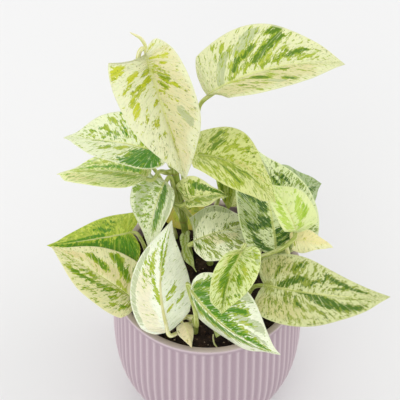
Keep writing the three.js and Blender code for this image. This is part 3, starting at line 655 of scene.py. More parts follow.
# Each leaf's cream was set lighter or darker for the light that falls on it, so the palettes carry painted
# light and shade as well as colour: the lower leaves' creams, such as leaf_centre_back's, are raised as
# painted light against the shade round them, and the dull olive palettes of leaf_shaded and leaf_low are
# painted shade.
PAINT = {
    "leaf_top_right": dict(
        cream="#e0e2b2", green="#8aa21a", deep="#587c0a", cover=0.26, specks=0.55, strokes=dict(
            green=[(5.6, -0.1, 5.75, -0.5, 3.2), (7.3, -0.2, 7.5, -0.5, 2.2),
                (6.15, -0.08, 6.25, -0.3, 1.5), (6.9, -0.08, 7, -0.26, 1.4), (4.35, -0.8, 4.4, -0.93, 1.4),
                (4.8, -0.62, 4.85, -0.8, 1.4), (5, 0.6, 5.05, 0.9, 1.2), (8.1, 0.1, 8.9, 0.4, 1.2),
                (8.2, -0.3, 8.4, -0.6, 1.4), (5.2, 0.3, 5.3, 0.46, 1), (5.6, 0.5, 5.8, 0.7, 1.1),
                (6.6, 0.3, 6.8, 0.5, 1.1), (7.6, 0.5, 7.8, 0.7, 1)],
            deep=[(5.65, -0.2, 5.7, -0.4, 1.6), (6.5, -0.28, 6.8, -0.85, 2), (6.4, -0.86, 6.55, -0.98, 2),
                (7.65, -0.36, 7.95, -0.66, 1.9), (5.95, -0.4, 6.1, -0.6, 1.5), (6.1, 0.24, 6.3, 0.46, 1.7),
                (7.2, 0.16, 7.4, 0.34, 1), (6.6, 0.66, 6.7, 0.84, 1.2)],
            yellow=[(6.8, -0.18, 6.95, -0.45, 2), (5.4, 0.02, 5.7, 0.2, 2.2)],
            wash=[(4.8, -0.08, 5, -0.55, 2.8), (5.6, -0.55, 5.8, -0.85, 2.8), (6.1, 0.58, 6.25, 0.74, 1.8)],
            beige_and_shade=[(4, 0.5, 7.5, 0.5, 12)],
            fine=[(5.5, -0.5, 8, -0.4, 9)])),
    "leaf_top_left": dict(
        cream="#e6e8be", green="#a4b020", deep="#7f9616", yellow="#c4ca2c",
        cover=0.2, specks=0.5, strokes=dict(
            green=[(5.45, 0.42, 5.6, 0.68, 2.2), (5.35, 0.1, 5.5, 0.32, 1.8), (4.85, 0.08, 4.95, 0.24, 1.4),
                (7, 0.24, 7.05, 0.4, 1.3), (7.6, 0.24, 7.7, 0.38, 1.3), (6.05, -0.08, 6.15, -0.22, 1.2),
                (5.35, -0.48, 5.45, -0.62, 1.2), (7.6, -0.03, 9, -0.06, 1), (4.5, -0.2, 4.6, -0.34, 0.9),
                (4.2, -0.4, 4.3, -0.56, 0.9), (4.9, -0.36, 5, -0.5, 0.9), (6.1, -0.36, 6.2, -0.48, 0.8),
                (6.6, -0.1, 6.7, -0.2, 0.9), (6.4, 0.1, 6.5, 0.24, 0.9), (5, 0.62, 5.1, 0.78, 1.2),
                (6.5, 0.5, 6.6, 0.64, 1)],
            deep=[(5.15, -0.2, 5.25, -0.4, 1.2), (5.65, -0.18, 5.75, -0.34, 1.2)],
            yellow=[(4.05, 0.68, 4.15, 0.97, 3), (1.3, -0.25, 1.9, -0.72, 2.6),
                (4.7, 0.36, 4.75, 0.58, 2.2), (5.9, 0.58, 6.05, 0.8, 2), (3.5, -0.12, 3.7, -0.72, 2.2)],
            wash=[(6.5, -0.56, 6.7, -0.78, 2.6)],
            # Painted shade: the beige tint darkens this half, which is turned from the light.
            beige_and_shade=[(4, -0.5, 8, -0.4, 14)],
            fine=[(4.6, -0.1, 5.6, -0.3, 5)])),
    "leaf_left_high": dict(
        cream="#e4eac2", green="#86a418", deep="#3f7e02", cover=0.26, specks=0.5, strokes=dict(
            green=[(4.3, -0.6, 4.2, 0.3, 12), (6.9, -0.4, 7, -0.62, 2.4), (6.55, 0.66, 6.65, 0.84, 1.5),
                (5.85, 0.8, 5.95, 0.96, 1.4), (6.35, 0.28, 6.45, 0.44, 1.5), (5.85, 0.18, 5.95, 0.34, 1.3),
                (5.3, 0.28, 5.35, 0.52, 1.4), (7.15, 0.4, 7.25, 0.6, 1.4), (8, 0.48, 8.05, 0.68, 1.3),
                (6.9, -0.1, 8.5, -0.28, 1.3), (2.4, -0.72, 2.6, -0.94, 2.2)],
            deep=[(3.8, -0.25, 4.4, -0.75, 8), (2.6, -0.5, 3.4, -0.85, 6), (4.2, 0, 5, -0.3, 5)],
            yellow=[(6.15, -0.18, 6.3, -0.42, 2.2)],
            fine=[(5.6, 0.4, 8, 0.3, 8), (5.2, -0.5, 6.2, -0.4, 5)])),
    "leaf_left_upper": dict(
        cream="#ecf2b0", green="#94bc14", deep="#62a006", cover=0.36, specks=0.5, strokes=dict(
            green=[(3, 0.12, 8.6, 0.28, 4.4), (3.2, -0.25, 7, -0.3, 3.4)],
            deep=[(4.6, 0.14, 8.2, 0.26, 2.2)],
            yellow=[(4.4, -0.2, 8.4, -0.3, 3.4), (5.2, 0.46, 7.6, 0.6, 3)],
            wash=[(6.2, 0.86, 8.2, 0.8, 2)],
            beige_and_shade=[(1.5, 0, 3.4, 0.4, 8), (6, -0.8, 8, -0.7, 4)],
            fine=[(5.5, 0, 8, 0.3, 11)])),
    "leaf_middle_left": dict(
        cream="#e4eac6", green="#7ca018", deep="#4a7e0c", yellow="#a0b452",
        cover=0.26, specks=0.6, strokes=dict(
            green=[(3.4, -0.14, 7.2, -0.5, 7), (4.9, 0.04, 5.1, 0.18, 1.7), (5.45, 0.72, 5.6, 0.9, 1.7),
                (7.35, 0.22, 7.6, 0.44, 1.4), (6.2, 0.3, 6.3, 0.5, 1.4)],
            deep=[(3.8, -0.18, 7, -0.46, 4.6)],
            wash=[(4.4, 0.4, 6.8, 0.7, 5), (3.5, -0.7, 5.5, -0.9, 3)],
            fine=[(4.8, 0.4, 7.4, 0.5, 9)])),
    "leaf_left_middle": dict(
        cream="#c4d04c", green="#86a80c", deep="#4e8604", cover=0.58, specks=0.4, strokes=dict(
            # Painted shade over its own dark green: the broad deep stroke darkens the front half, which
            # droops into shade.
            deep=[(6.6, 0.12, 9.4, 0.1, 2.6), (3.6, -0.5, 6.6, -0.55, 13), (6, 0.3, 6.6, 0.5, 2),
                (7.4, -0.3, 9, -0.3, 5)],
            yellow=[(4.9, -0.25, 5.4, -0.75, 2), (5.6, 0.5, 6.6, 0.7, 3), (4, 0.3, 4.8, 0.6, 4)])),
    "leaf_left_low": dict(
        cream="#e8e4b0", green="#8ca414", deep="#618a02", cover=0.27, specks=0.42, strokes=dict(
            green=[(7.9, -0.8, 6.9, -0.5, 3), (6.9, -0.5, 5.4, -0.1, 2.4), (7.9, -0.42, 6.6, -0.12, 1.5),
                (4.6, -0.64, 3.2, -0.4, 3), (5.25, -0.52, 5.1, -0.34, 1.5), (8.9, -0.3, 8.3, -0.36, 1.1),
                (8.9, 0.3, 8.3, 0.24, 1.1)],
            deep=[(7.6, -0.7, 6.8, -0.48, 1.8), (6.7, -0.44, 5.8, -0.2, 1.2), (7.4, 0.64, 6.8, 0.36, 1.8),
                (6.15, 0.82, 5.3, 0.42, 2.2), (4.2, -0.55, 3.6, -0.5, 1.4)],
            yellow=[(5.9, 0.14, 5, 0.03, 1.8)],
            beige_and_shade=[(7, 0.3, 5.4, 0.3, 6), (8.8, 0.4, 8.2, 0.5, 5)],
            fine=[(8.2, -0.3, 4.6, -0.4, 8)])),
    "leaf_front_white": dict(
        cream="#eff4dc", green="#98b418", deep="#7a9c0a", cover=0.08, specks=0.22, strokes=dict(
            green=[(7.65, -0.46, 7, -0.32, 3), (7, -0.32, 6.1, -0.06, 2.4), (9.2, 0.4, 7.4, 0.05, 2.6),
                (6, 0.22, 6.1, 0.5, 2), (5.1, 0.5, 5.2, 0.72, 1.4)],
            deep=[(8.3, 0.2, 7.9, 0.12, 1.2), (9.3, -0.3, 8, 0, 1.8)],
            yellow=[(7.8, -0.56, 7.3, -0.5, 2.2), (5.2, 0.15, 5.25, 0.36, 1.3)],
            wash=[(4, -0.86, 7.5, -0.9, 2.2)],
            # Painted shade: the beige tint darkens the left half, which lies in shade.
            beige_and_shade=[(2, -0.4, 6, -0.6, 8)],
            fine=[(8.2, -0.5, 7, -0.6, 5)])),
    "leaf_front": dict(
        cream="#f0f6d8", green="#80a41a", deep="#4f8602", cover=0.18, specks=0.3, strokes=dict(
            green=[(3, -0.14, 9, -0.24, 8), (2.6, 0.35, 8.8, 0.42, 8), (2, -0.4, 4.2, -0.7, 9),
                (5.6, -0.5, 5.9, -0.76, 1.8), (7.1, -0.5, 7.5, -0.72, 1.5), (8.4, -0.4, 8.9, -0.5, 1.4)],
            deep=[(3.6, -0.14, 8.8, -0.22, 4.8), (3.4, 0.25, 8.2, 0.32, 4), (2.2, -0.3, 3.6, -0.6, 4.5),
                (6.2, -0.46, 6.5, -0.7, 1.8)],
            wash=[(6.8, -0.5, 7.7, -0.85, 3.2), (8, -0.5, 8.7, -0.65, 2.2), (5, -0.8, 5.6, -0.95, 3)])),
    "leaf_centre": dict(
        cream="#dce6a0", green="#88a614", deep="#5e8a04", cover=0.44, specks=0.45, strokes=dict(
            green=[(5, 0.3, 6.6, 0.5, 5), (6.8, 0.3, 8.9, 0.35, 3.6), (3, -0.7, 3.5, -0.8, 1.6)],
            deep=[(4.6, 0.24, 6.5, 0.44, 3.4), (6.9, 0.22, 8.8, 0.22, 2.2), (6.2, -0.35, 6.5, -0.6, 1.2)],
            yellow=[(5.2, -0.3, 5.6, -0.6, 1.8)],
            wash=[(2.8, -0.7, 3.7, -0.85, 2.4)],
            beige_and_shade=[(3.4, 0.2, 4.2, 0.5, 5)],
            fine=[(4.5, -0.4, 8, -0.4, 9)])),
    "leaf_centre_back": dict(
        cream="#fafddc", green="#90a228", deep="#587a0c", yellow="#a3b25c",
        cover=0.27, specks=0.5, strokes=dict(
            green=[(1.6, 0.28, 3.5, 0.42, 4.4), (6.9, -0.1, 7.9, -0.4, 2.6), (4.6, 0.15, 5, 0.5, 1.8),
                (6, 0.2, 6.3, 0.5, 1.6)],
            deep=[(1.9, 0.32, 3.2, 0.4, 2.6)],
            wash=[(2.6, -0.4, 4.2, -0.85, 6), (5, -0.9, 6.5, -0.9, 2.5)],
            beige_and_shade=[(5.2, 0.2, 6.8, 0.4, 4)],
            fine=[(3.6, 0.4, 7.4, 0.5, 12)])),
    "leaf_right_large": dict(
        cream="#e0eab6", green="#7a9422", deep="#36600a", yellow="#9cb05a",
        cover=0.32, specks=0.55, strokes=dict(
            deep=[(7.05, -0.56, 6.4, -0.85, 3.4), (6.15, -0.12, 5.75, -0.42, 2.6),
                (3.3, -0.12, 4.2, -0.62, 4.4), (5.2, -0.5, 4.9, -0.75, 2), (6.9, -0.2, 6.6, -0.4, 2.6),
                (4.55, 0.04, 4.8, 0.36, 1.6), (5.05, 0.04, 5.3, 0.34, 1.6), (5.55, 0.04, 5.8, 0.32, 1.6),
                (4.4, 0.66, 5.1, 0.78, 2.4), (7.45, 0.2, 7.95, 0.22, 1.3), (7.45, 0.34, 7.95, 0.37, 1.3),
                (7.45, 0.49, 7.9, 0.52, 1.3), (7.35, 0.64, 7.8, 0.67, 1.3), (7.2, 0.78, 7.6, 0.8, 1.3)],
            yellow=[(2.6, 0.12, 4.6, 0.3, 6)],
            wash=[(6.6, -0.5, 5.4, -0.85, 8), (7.9, 0.2, 8.9, 0.45, 4.5), (8, -0.3, 9, -0.3, 4)],
            fine=[(6.6, -0.4, 4.6, -0.7, 10), (4.2, 0.7, 6.6, 0.8, 7)])),
    # Painted light: the pale lime greens of this young leaf paint in the glow of light shining through its
    # blade.
    "leaf_right_small": dict(
        cream="#e2eca8", green="#b2ce46", deep="#9cc02e", yellow="#bfd862",
        cover=0.2, specks=0.2, strokes=dict(
            green=[(4.2, -0.5, 7.2, -0.62, 5), (6.3, 0.42, 6.6, 0.68, 1.8), (4.6, 0.2, 6.2, 0.4, 1.6)],
            deep=[(5.35, 0.5, 5.7, 0.7, 1.6)],
            yellow=[(3.8, 0.08, 4.4, 0.34, 1.4)])),
    "leaf_middle_high": dict(
        cream="#d4da8c", green="#8ca218", deep="#638402", cover=0.41, specks=0.5, strokes=dict(
            green=[(0.8, -0.2, 2.2, -0.8, 6.5), (5, 0.22, 8.3, 0.5, 5.4), (6.1, -0.25, 6.3, -0.6, 1.7),
                (4.8, 0.3, 5.2, 0.6, 1.8), (4, 0.5, 4.5, 0.85, 2), (6.6, -0.5, 6.9, -0.8, 1.4)],
            deep=[(0.9, -0.3, 2, -0.7, 4.6), (4.6, 0.02, 6.9, 0.06, 2.4), (6.9, 0.28, 7.6, 0.38, 1.3),
                (5.4, -0.2, 5.6, -0.5, 1.5), (5.9, 0.5, 6.3, 0.8, 1.1), (4.9, -0.5, 5.1, -0.8, 1.1),
                (7.6, 0.3, 8.4, 0.46, 1.4)],
            beige_and_shade=[(7.3, -0.12, 8.5, -0.34, 2.6)],
            fine=[(4, -0.4, 8, -0.4, 9), (4, 0.4, 8.4, 0.5, 18)])),
    "leaf_back_right": dict(
        cream="#a8b888", green="#809846", deep="#4c6c28", yellow="#8aa464",
        cover=0.5, specks=0.4, strokes=dict(
            deep=[(3.5, -0.3, 5.5, -0.6, 6), (7, 0.3, 8.4, 0.3, 4)],
            wash=[(5, 0.4, 7, 0.5, 7)])),
    "leaf_right_cream": dict(
        cream="#f2f0b8", green="#c0bd41", deep="#a3a52a", cover=0.14, specks=0.2, strokes=dict(
            yellow=[(0.5, 0, 3.4, 0.2, 4)],
            beige_and_shade=[(3, -0.4, 7, -0.4, 6)])),
    "leaf_front_right": dict(
        cream="#ced29a", green="#809226", deep="#44680c", yellow="#9ca64a",
        cover=0.33, specks=0.82, strokes=dict(
            green=[(6.25, -0.32, 7, -0.46, 1.6), (7.9, 0.2, 9, 0.3, 1.5), (5.4, 0.12, 5.7, 0.4, 1.4),
                (4.2, 0.3, 4.5, 0.6, 1), (6.4, 0.5, 6.7, 0.75, 1.1)],
            deep=[(4.9, -0.06, 6, -0.4, 2.6), (7, -0.72, 8.6, -0.5, 2.6), (6.1, 0.02, 6.9, 0.08, 1.3),
                (6.8, 0.16, 7.3, 0.5, 4.2), (7.3, 0.5, 7.9, 0.8, 3.6), (5.8, 0.3, 5.9, 0.5, 1),
                (4.3, -0.3, 4.6, -0.6, 1), (5.4, -0.6, 5.8, -0.85, 1.2), (6.4, -0.2, 6.8, -0.5, 1),
                (7.5, -0.3, 7.9, -0.5, 1.2)],
            yellow=[(0.8, 0, 3.6, 0.05, 7)],
            beige_and_shade=[(2.8, -0.6, 4.4, -0.6, 8), (3.6, 0.6, 5.4, 0.6, 8)],
            fine=[(4.8, 0.3, 6.2, 0.36, 8), (5.8, -0.6, 7, -0.6, 7)])),
    "leaf_middle_under": dict(
        cream="#ecf0aa", green="#84a420", deep="#4f7e04", cover=0.3, specks=0.6, strokes=dict(
            green=[(2.5, 0.5, 8.6, 0.5, 7), (5.4, -0.2, 5.6, -0.5, 1.6)],
            deep=[(7, -0.5, 9.2, -0.5, 5)],
            fine=[(4, -0.4, 6.5, -0.5, 7)])),
    "leaf_middle_hanging": dict(
        cream="#c3d070", green="#869e18", deep="#5f7d02", cover=0.3, specks=0.3, strokes=dict(
            green=[(1.5, 0.35, 9, 0.3, 1.4), (1.5, -0.35, 9, -0.4, 1.5)],
            deep=[(2.5, 0.75, 8, 0.7, 1.1), (3, -0.06, 8.5, -0.1, 1)])),
    "leaf_shaded": dict(
        cream="#bdb04a", green="#97a01b", deep="#6f8411", cover=0.36, specks=0.3, strokes=dict(
            green=[(3.5, -0.2, 6.5, -0.5, 4)],
            yellow=[(5, 0.3, 7, 0.5, 5)])),
    "leaf_narrow": dict(
        cream="#cad690", green="#8fab29", deep="#6f941e", cover=0.3, specks=0.3, strokes=dict(
            green=[(2, 0.4, 8, 0.4, 1.6), (3, -0.5, 7, -0.5, 1.4)])),
    "leaf_low": dict(
        cream="#a5b46a", green="#7f9a20", deep="#5a7c10", cover=0.44, specks=0.3, strokes=dict(
            green=[(3, -0.4, 6, -0.4, 4)],
            deep=[(5, 0.3, 7, 0.4, 2.5)])),
    "leaf_back_middle": dict(
        cream="#dade98", green="#86a01a", deep="#4f7a08", cover=0.34, specks=0.5, strokes=dict(
            green=[(6, 0.1, 6.6, 0.6, 3), (3, 0.3, 4, 0.7, 3.5)],
            deep=[(4, -0.1, 5, -0.6, 3.5), (7, -0.1, 8, -0.4, 1.8)],
            beige_and_shade=[(5.5, -0.5, 6.5, -0.7, 5)],
            fine=[(4, 0.3, 8, 0.3, 8)])),
    "leaf_back_low": dict(
        cream="#cfd58c", green="#7d9d1c", deep="#4d780a", cover=0.38, specks=0.5, strokes=dict(
            green=[(5, -0.1, 6, -0.6, 3.5)],
            deep=[(4.5, 0.1, 5.5, 0.6, 3), (7.2, 0.1, 8.2, 0.3, 1.6)],
            fine=[(4, -0.3, 8, -0.3, 8)])),
    "leaf_back_left": dict(
        cream="#dde0a2", green="#8aa41e", deep="#56800a", cover=0.32, specks=0.5, strokes=dict(
            green=[(4, 0.1, 5.2, 0.6, 4), (5.2, -0.2, 5.8, -0.7, 2.6)],
            deep=[(4.4, 0.2, 5, 0.5, 2.2), (6.4, -0.1, 7.2, -0.6, 2.6)],
            beige_and_shade=[(6.5, 0.4, 8, 0.4, 5)],
            fine=[(4, -0.3, 8, 0.3, 10)])),
    "sheath": dict(
        cream="#ece8c0", green="#d8d27a", deep="#b9ac50", cover=0.14, specks=0.3, strokes=dict(
            beige_and_shade=[(4, -0.5, 9, 0.2, 6)])),
}


def turned(v, axis, angle):
    """v turned about an axis by an angle in radians, for one vector or for rows of them."""
    c = np.cos(angle)
    s = np.sin(angle)
    dot = (v * axis).sum(-1, keepdims=True)
    return v * c + np.cross(axis, v) * s + axis * dot * (1 - c)


class Blade:
    """The middle surface of one leaf, from its midrib and its side veins."""

    def __init__(self, base, tip, width, fold, bend=(0, 0), roll=0, arch=0, sweep=0, twist=0, wave=1,
                 heel=(0, 0), lobes=(1, 1)):
        self.base = np.array(base, float)
        self.chord = np.array(tip, float) - self.base
        self.length = np.linalg.norm(self.chord)
        ahead = self.chord / self.length
        level = np.array([0, 0, 1.0]) - ahead * ahead[2]
        self.face = turned(level / np.linalg.norm(level), ahead, math.radians(roll))
        self.bow = (self.face * arch + np.cross(ahead, self.face) * sweep) * 4 * self.length
        self.width, self.fold, self.bend, self.twist = width, fold, bend, twist
        self.wave, self.heel, self.lobes = wave, heel, lobes

    def midrib(self, t):
        t = np.asarray(t, float)[..., None]
        return self.base + self.chord * t + self.bow * t * (1 - t)

    def frame_at(self, t):
        t = np.asarray(t, float)[..., None]
        along = self.chord + self.bow * (1 - 2 * t)
        along = along / np.linalg.norm(along, axis=-1, keepdims=True)
        right = np.cross(along, self.face)
        right /= np.linalg.norm(right, axis=-1, keepdims=True)
        up = np.cross(right, along)
        turn = math.radians(self.twist) * (t - 0.5)
        return along, turned(right, along, turn), turned(up, along, turn)

    def point(self, row, v, hand):
        """Points of the blade: row counts the side veins, v runs from midrib to margin, hand is -1 or 1."""
        root, along, across = smooth_line(SIDE_VEINS, row.ravel()).T.reshape(3, *row.shape)
        across = np.maximum(across, 0)
        half = (hand > 0).astype(int)
        lobe = np.array(self.lobes)[half]
        place = np.where(along < 0, along * lobe, along) - np.array(self.heel)[half] * across
        t = root + (place - root) * v ** VEIN_SWEEP
        _, right, up = self.frame_at(t)
        lift = np.radians(np.array(self.fold)[half] + np.array(self.bend)[half] * v)
        reach = 0.5 * self.width * across * v
        ripple = self.wave * v * v * np.sin(2 * math.pi * WAVES_ALONG * along + WAVE_SHIFT * hand)
        ripple = ripple * np.minimum(1, across * 4)
        return (self.midrib(t) + right * (hand * reach * np.cos(lift))[..., None]
                + up * (reach * np.sin(lift) + ripple)[..., None]), reach


def splashes(blade, row, side, cover, strokes):
    """How strongly each ink and tint lies on every point of a blade."""
    inks = {tone: np.zeros_like(row) for tone in ("green", "deep", "yellow", "wash", "beige_and_shade")}
    inks["green"] += cover
    for tone, lines in strokes.items():
        for row_1, side_1, row_2, side_2, wide in lines:
            x = (row - row_1) * blade.length / TIP_ROW
            y = (side - side_1) * blade.width / 2
            leg_x = (row_2 - row_1) * blade.length / TIP_ROW
            leg_y = (side_2 - side_1) * blade.width / 2
            share = np.clip((x * leg_x + y * leg_y) / max(leg_x ** 2 + leg_y ** 2, 1e-6), 0, 1)
            off = np.hypot(x - share * leg_x, y - share * leg_y)
            laid = {tone: STROKE_COVER * np.clip(STROKE_REACH - off / wide, 0, 1)}
            if tone == "fine":
                laid = {"green": FINE_COVER * np.clip(FINE_REACH - off / wide, 0, 1)}
            if tone == "deep":
                laid["green"] = STROKE_COVER * np.clip(STROKE_REACH - off / (wide + DEEP_HALO), 0, 1)
            for ink, strength in laid.items():
                inks[ink] = np.maximum(inks[ink], strength)
    return inks


def blade_mesh(blade, seed, cover, strokes):
    """Top and underside of a blade with its veins in relief, closed round the margin, and its facts."""
    steps = np.array(BLADE_STEPS)
    signed = np.concatenate([-steps[:0:-1], steps])
    rows = np.linspace(FIRST_ROW, LAST_ROW, BLADE_ROWS)
    row, side = np.meshgrid(rows, signed, indexing="ij")
    v = np.abs(side)
    hand = np.where(side < 0, -1, 1)
    middle, reach = blade.point(row, v, hand)
    along_rows = np.gradient(middle, axis=0)
    along_side = np.gradient(middle, axis=1)
    normal = np.cross(along_side, along_rows)
    normal /= np.maximum(np.linalg.norm(normal, axis=-1, keepdims=True), 1e-9)
    small = min(1, blade.width / FULL_WIDTH)
    inland = np.clip(row / HEEL_FADE, 0, 1) * np.clip((TIP_ROW - row) / TIP_FADE, 0, 1)
    puff = np.abs(np.sin(math.pi * (row - QUILT_SLANT * v))) ** 0.8
    puff = puff * np.clip(v * 5, 0, 1) * np.clip((1 - v) * 3, 0, 1)
    places = zip(row.ravel() * LUMP_GRAIN[0] + seed, side.ravel() * LUMP_GRAIN[1])
    lumps = np.array([noise.noise(Vector((a, b, seed * LUMP_GRAIN[2]))) for a, b in places])
    lumps = LUMP_HEIGHT * lumps.reshape(row.shape) * np.clip(v * 3, 0, 1)
    frill = np.sin(row * FRILL_GRAIN + seed) * v ** 4 * np.clip(v * 4 - 3, 0, 1)
    rise = small * inland * (QUILT * (puff - QUILT_LEVEL) + lumps + FRILL_HEIGHT * frill)
    groove = GROOVE_DEPTH * np.exp(-(reach / GROOVE_WIDTH) ** 2)
    groove = groove * np.clip((TIP_ROW - row) / GROOVE_FADE, 0, 1) * small
    half = MARGIN_HALF + (BLADE_HALF - MARGIN_HALF) * np.sqrt(np.clip(1 - v ** 6, 0, 1))
    top = middle + normal * (rise - groove + half)[..., None]
    under = middle + normal * (rise - groove * GROOVE_UNDER - half)[..., None]
    across_count = len(signed)
    ends = blade.midrib(np.array([0.0, 1.0]))
    half_ends = normal[[0, -1], across_count // 2] * [[BLADE_HALF], [MARGIN_HALF]]
    layer = len(rows) * across_count
    points = np.vstack([top.reshape(-1, 3), ends + half_ends, under.reshape(-1, 3), ends - half_ends])
    faces = []
    below = layer + 2
    for i in range(len(rows) - 1):
        for j in range(across_count - 1):
            a = i * across_count + j
            quad = (a, a + 1, a + 1 + across_count, a + across_count)
            faces.append(quad)
            faces.append(tuple(below + k for k in reversed(quad)))
    last = (len(rows) - 1) * across_count
    for j in range(across_count - 1):
        faces.append((layer, j + 1, j))
        faces.append((below + j, below + j + 1, below + layer))
        faces.append((layer + 1, last + j, last + j + 1))
        faces.append((below + last + j + 1, below + last + j, below + layer + 1))
    right = [i * across_count + across_count - 1 for i in range(len(rows))]
    left = [i * across_count for i in reversed(range(len(rows)))]
    rim = [layer] + right + [layer + 1] + left
    for a, b in zip(rim, rim[1:] + rim[:1]):
        faces.append((b, a, below + a, below + b))
    inks = splashes(blade, row, side, cover, strokes)
    flat = np.zeros_like(row)
    facts = {}
    for label, parts in (
        ("vein", (row, side, flat)),
        ("grain", (row * blade.length / TIP_ROW, side * blade.width / 2, flat + seed * 7.7)),
        ("inks", (inks["green"], inks["deep"], inks["yellow"])),
        ("tints", (inks["wash"], inks["beige_and_shade"], flat)),
    ):
        sheet = np.stack(parts, -1).reshape(-1, 3)
        tips = sheet[[across_count // 2, -1 - across_count // 2]]
        facts[label] = np.vstack([sheet, tips, sheet, tips])
    facts["vein"][below:, 2] = 1
    return points, faces, facts


stem_routes = {name: Route(path) for name, (_, path) in STEMS.items()}


def stalk_start(place, *where):
    """The first points of a stalk: up out of the soil, or out of the side of a stem and square to it."""
    if place == "soil":
        x, y = where
        top = float(soil_height(math.hypot(x, y)))
        return [[x, y, top + rise] for rise in (GAP - HOLE_DEPTH, -FOOT_LENGTH, FOOT_LENGTH)]
    share, towards = where
    head = stem_routes[place].heading(share)[0]
    out = np.array(towards, float)
    out -= head * (out @ head)
    out /= np.linalg.norm(out)
    foot = stem_routes[place].at(share)[0] + out * (STEMS[place][0] + GAP)
    return [foot - out * 2, foot + out * FOOT_LENGTH / 3, foot + out * FOOT_LENGTH]


def stalk_mesh(blade, start, via):
    """The stalk, which runs on below the blade as the raised back of its midrib."""
    along, _, up = blade.frame_at(0.0)
    below = blade.midrib(0.0) - along * HOOK_BACK - up * HOOK_DROP
    small = min(1, blade.width / 40 + 0.25)

    def ridge_radius(s):
        return RIDGE_RADIUS * max(0, 1 - s) ** 0.8 * small + RIDGE_POINT

    ridge = []
    for s in RIDGE_STEPS:
        t = STALK_END + s * (RIDGE_END - STALK_END)
        ridge.append(blade.midrib(t) - blade.frame_at(t)[2] * (ridge_radius(s) + RIDGE_SINK))
    route = Route([*stalk_start(*start), *via, below, *ridge])
    joint = np.argmin(np.linalg.norm(route.line - ridge[0], axis=1))
    joint_share = route.far[joint] / route.length

    def radius_at(share, turn):
        if share < joint_share:
            s = share / joint_share
            radius = STALK_FOOT_RADIUS + (STALK_RADIUS - STALK_FOOT_RADIUS) * min(1, 2 * s)
            stalk_length = joint_share * route.length
            widening = ridge_radius(0) - STALK_RADIUS
            radius += widening * math.exp(-((1 - s) * stalk_length / HEEL_BLEND) ** 2)
            radius += FOOT_FLARE * math.exp(-(s * stalk_length / FLARE_LENGTH) ** 2)
        else:
            radius = ridge_radius((share - joint_share) / (1 - joint_share))
        return radius * (1 + STALK_OVAL * np.cos(2 * turn))

    return tube(route, radius_at, STALK_SIDES, STALK_STEP)


def leaf_piece(name, paint, stalk, slot, seed, start, via=(), **shape):
    """One leaf as it grew: the blade and its stalk in one mesh, each with its own finish."""
    blade = Blade(**shape)
    points, faces, facts = blade_mesh(blade, seed, paint["cover"], paint["strokes"])
    stalk_points, stalk_faces, stalk_facts = stalk_mesh(blade, start, via)
    shift = len(points)
    all_faces = faces + [tuple(shift + k for k in face) for face in stalk_faces]
    facts = {label: np.vstack([values, np.zeros_like(stalk_facts)]) for label, values in facts.items()}
    facts["grow"] = np.vstack([np.zeros((shift, 3)), stalk_facts])
    made = piece(name + "_grown", np.vstack([points, stalk_points]), all_faces, variegated(name, paint),
                 slot, [name], facts)
    made.data.materials.append(stalk)
    made.data.polygons.foreach_set("material_index", [0] * len(faces) + [1] * len(stalk_faces))


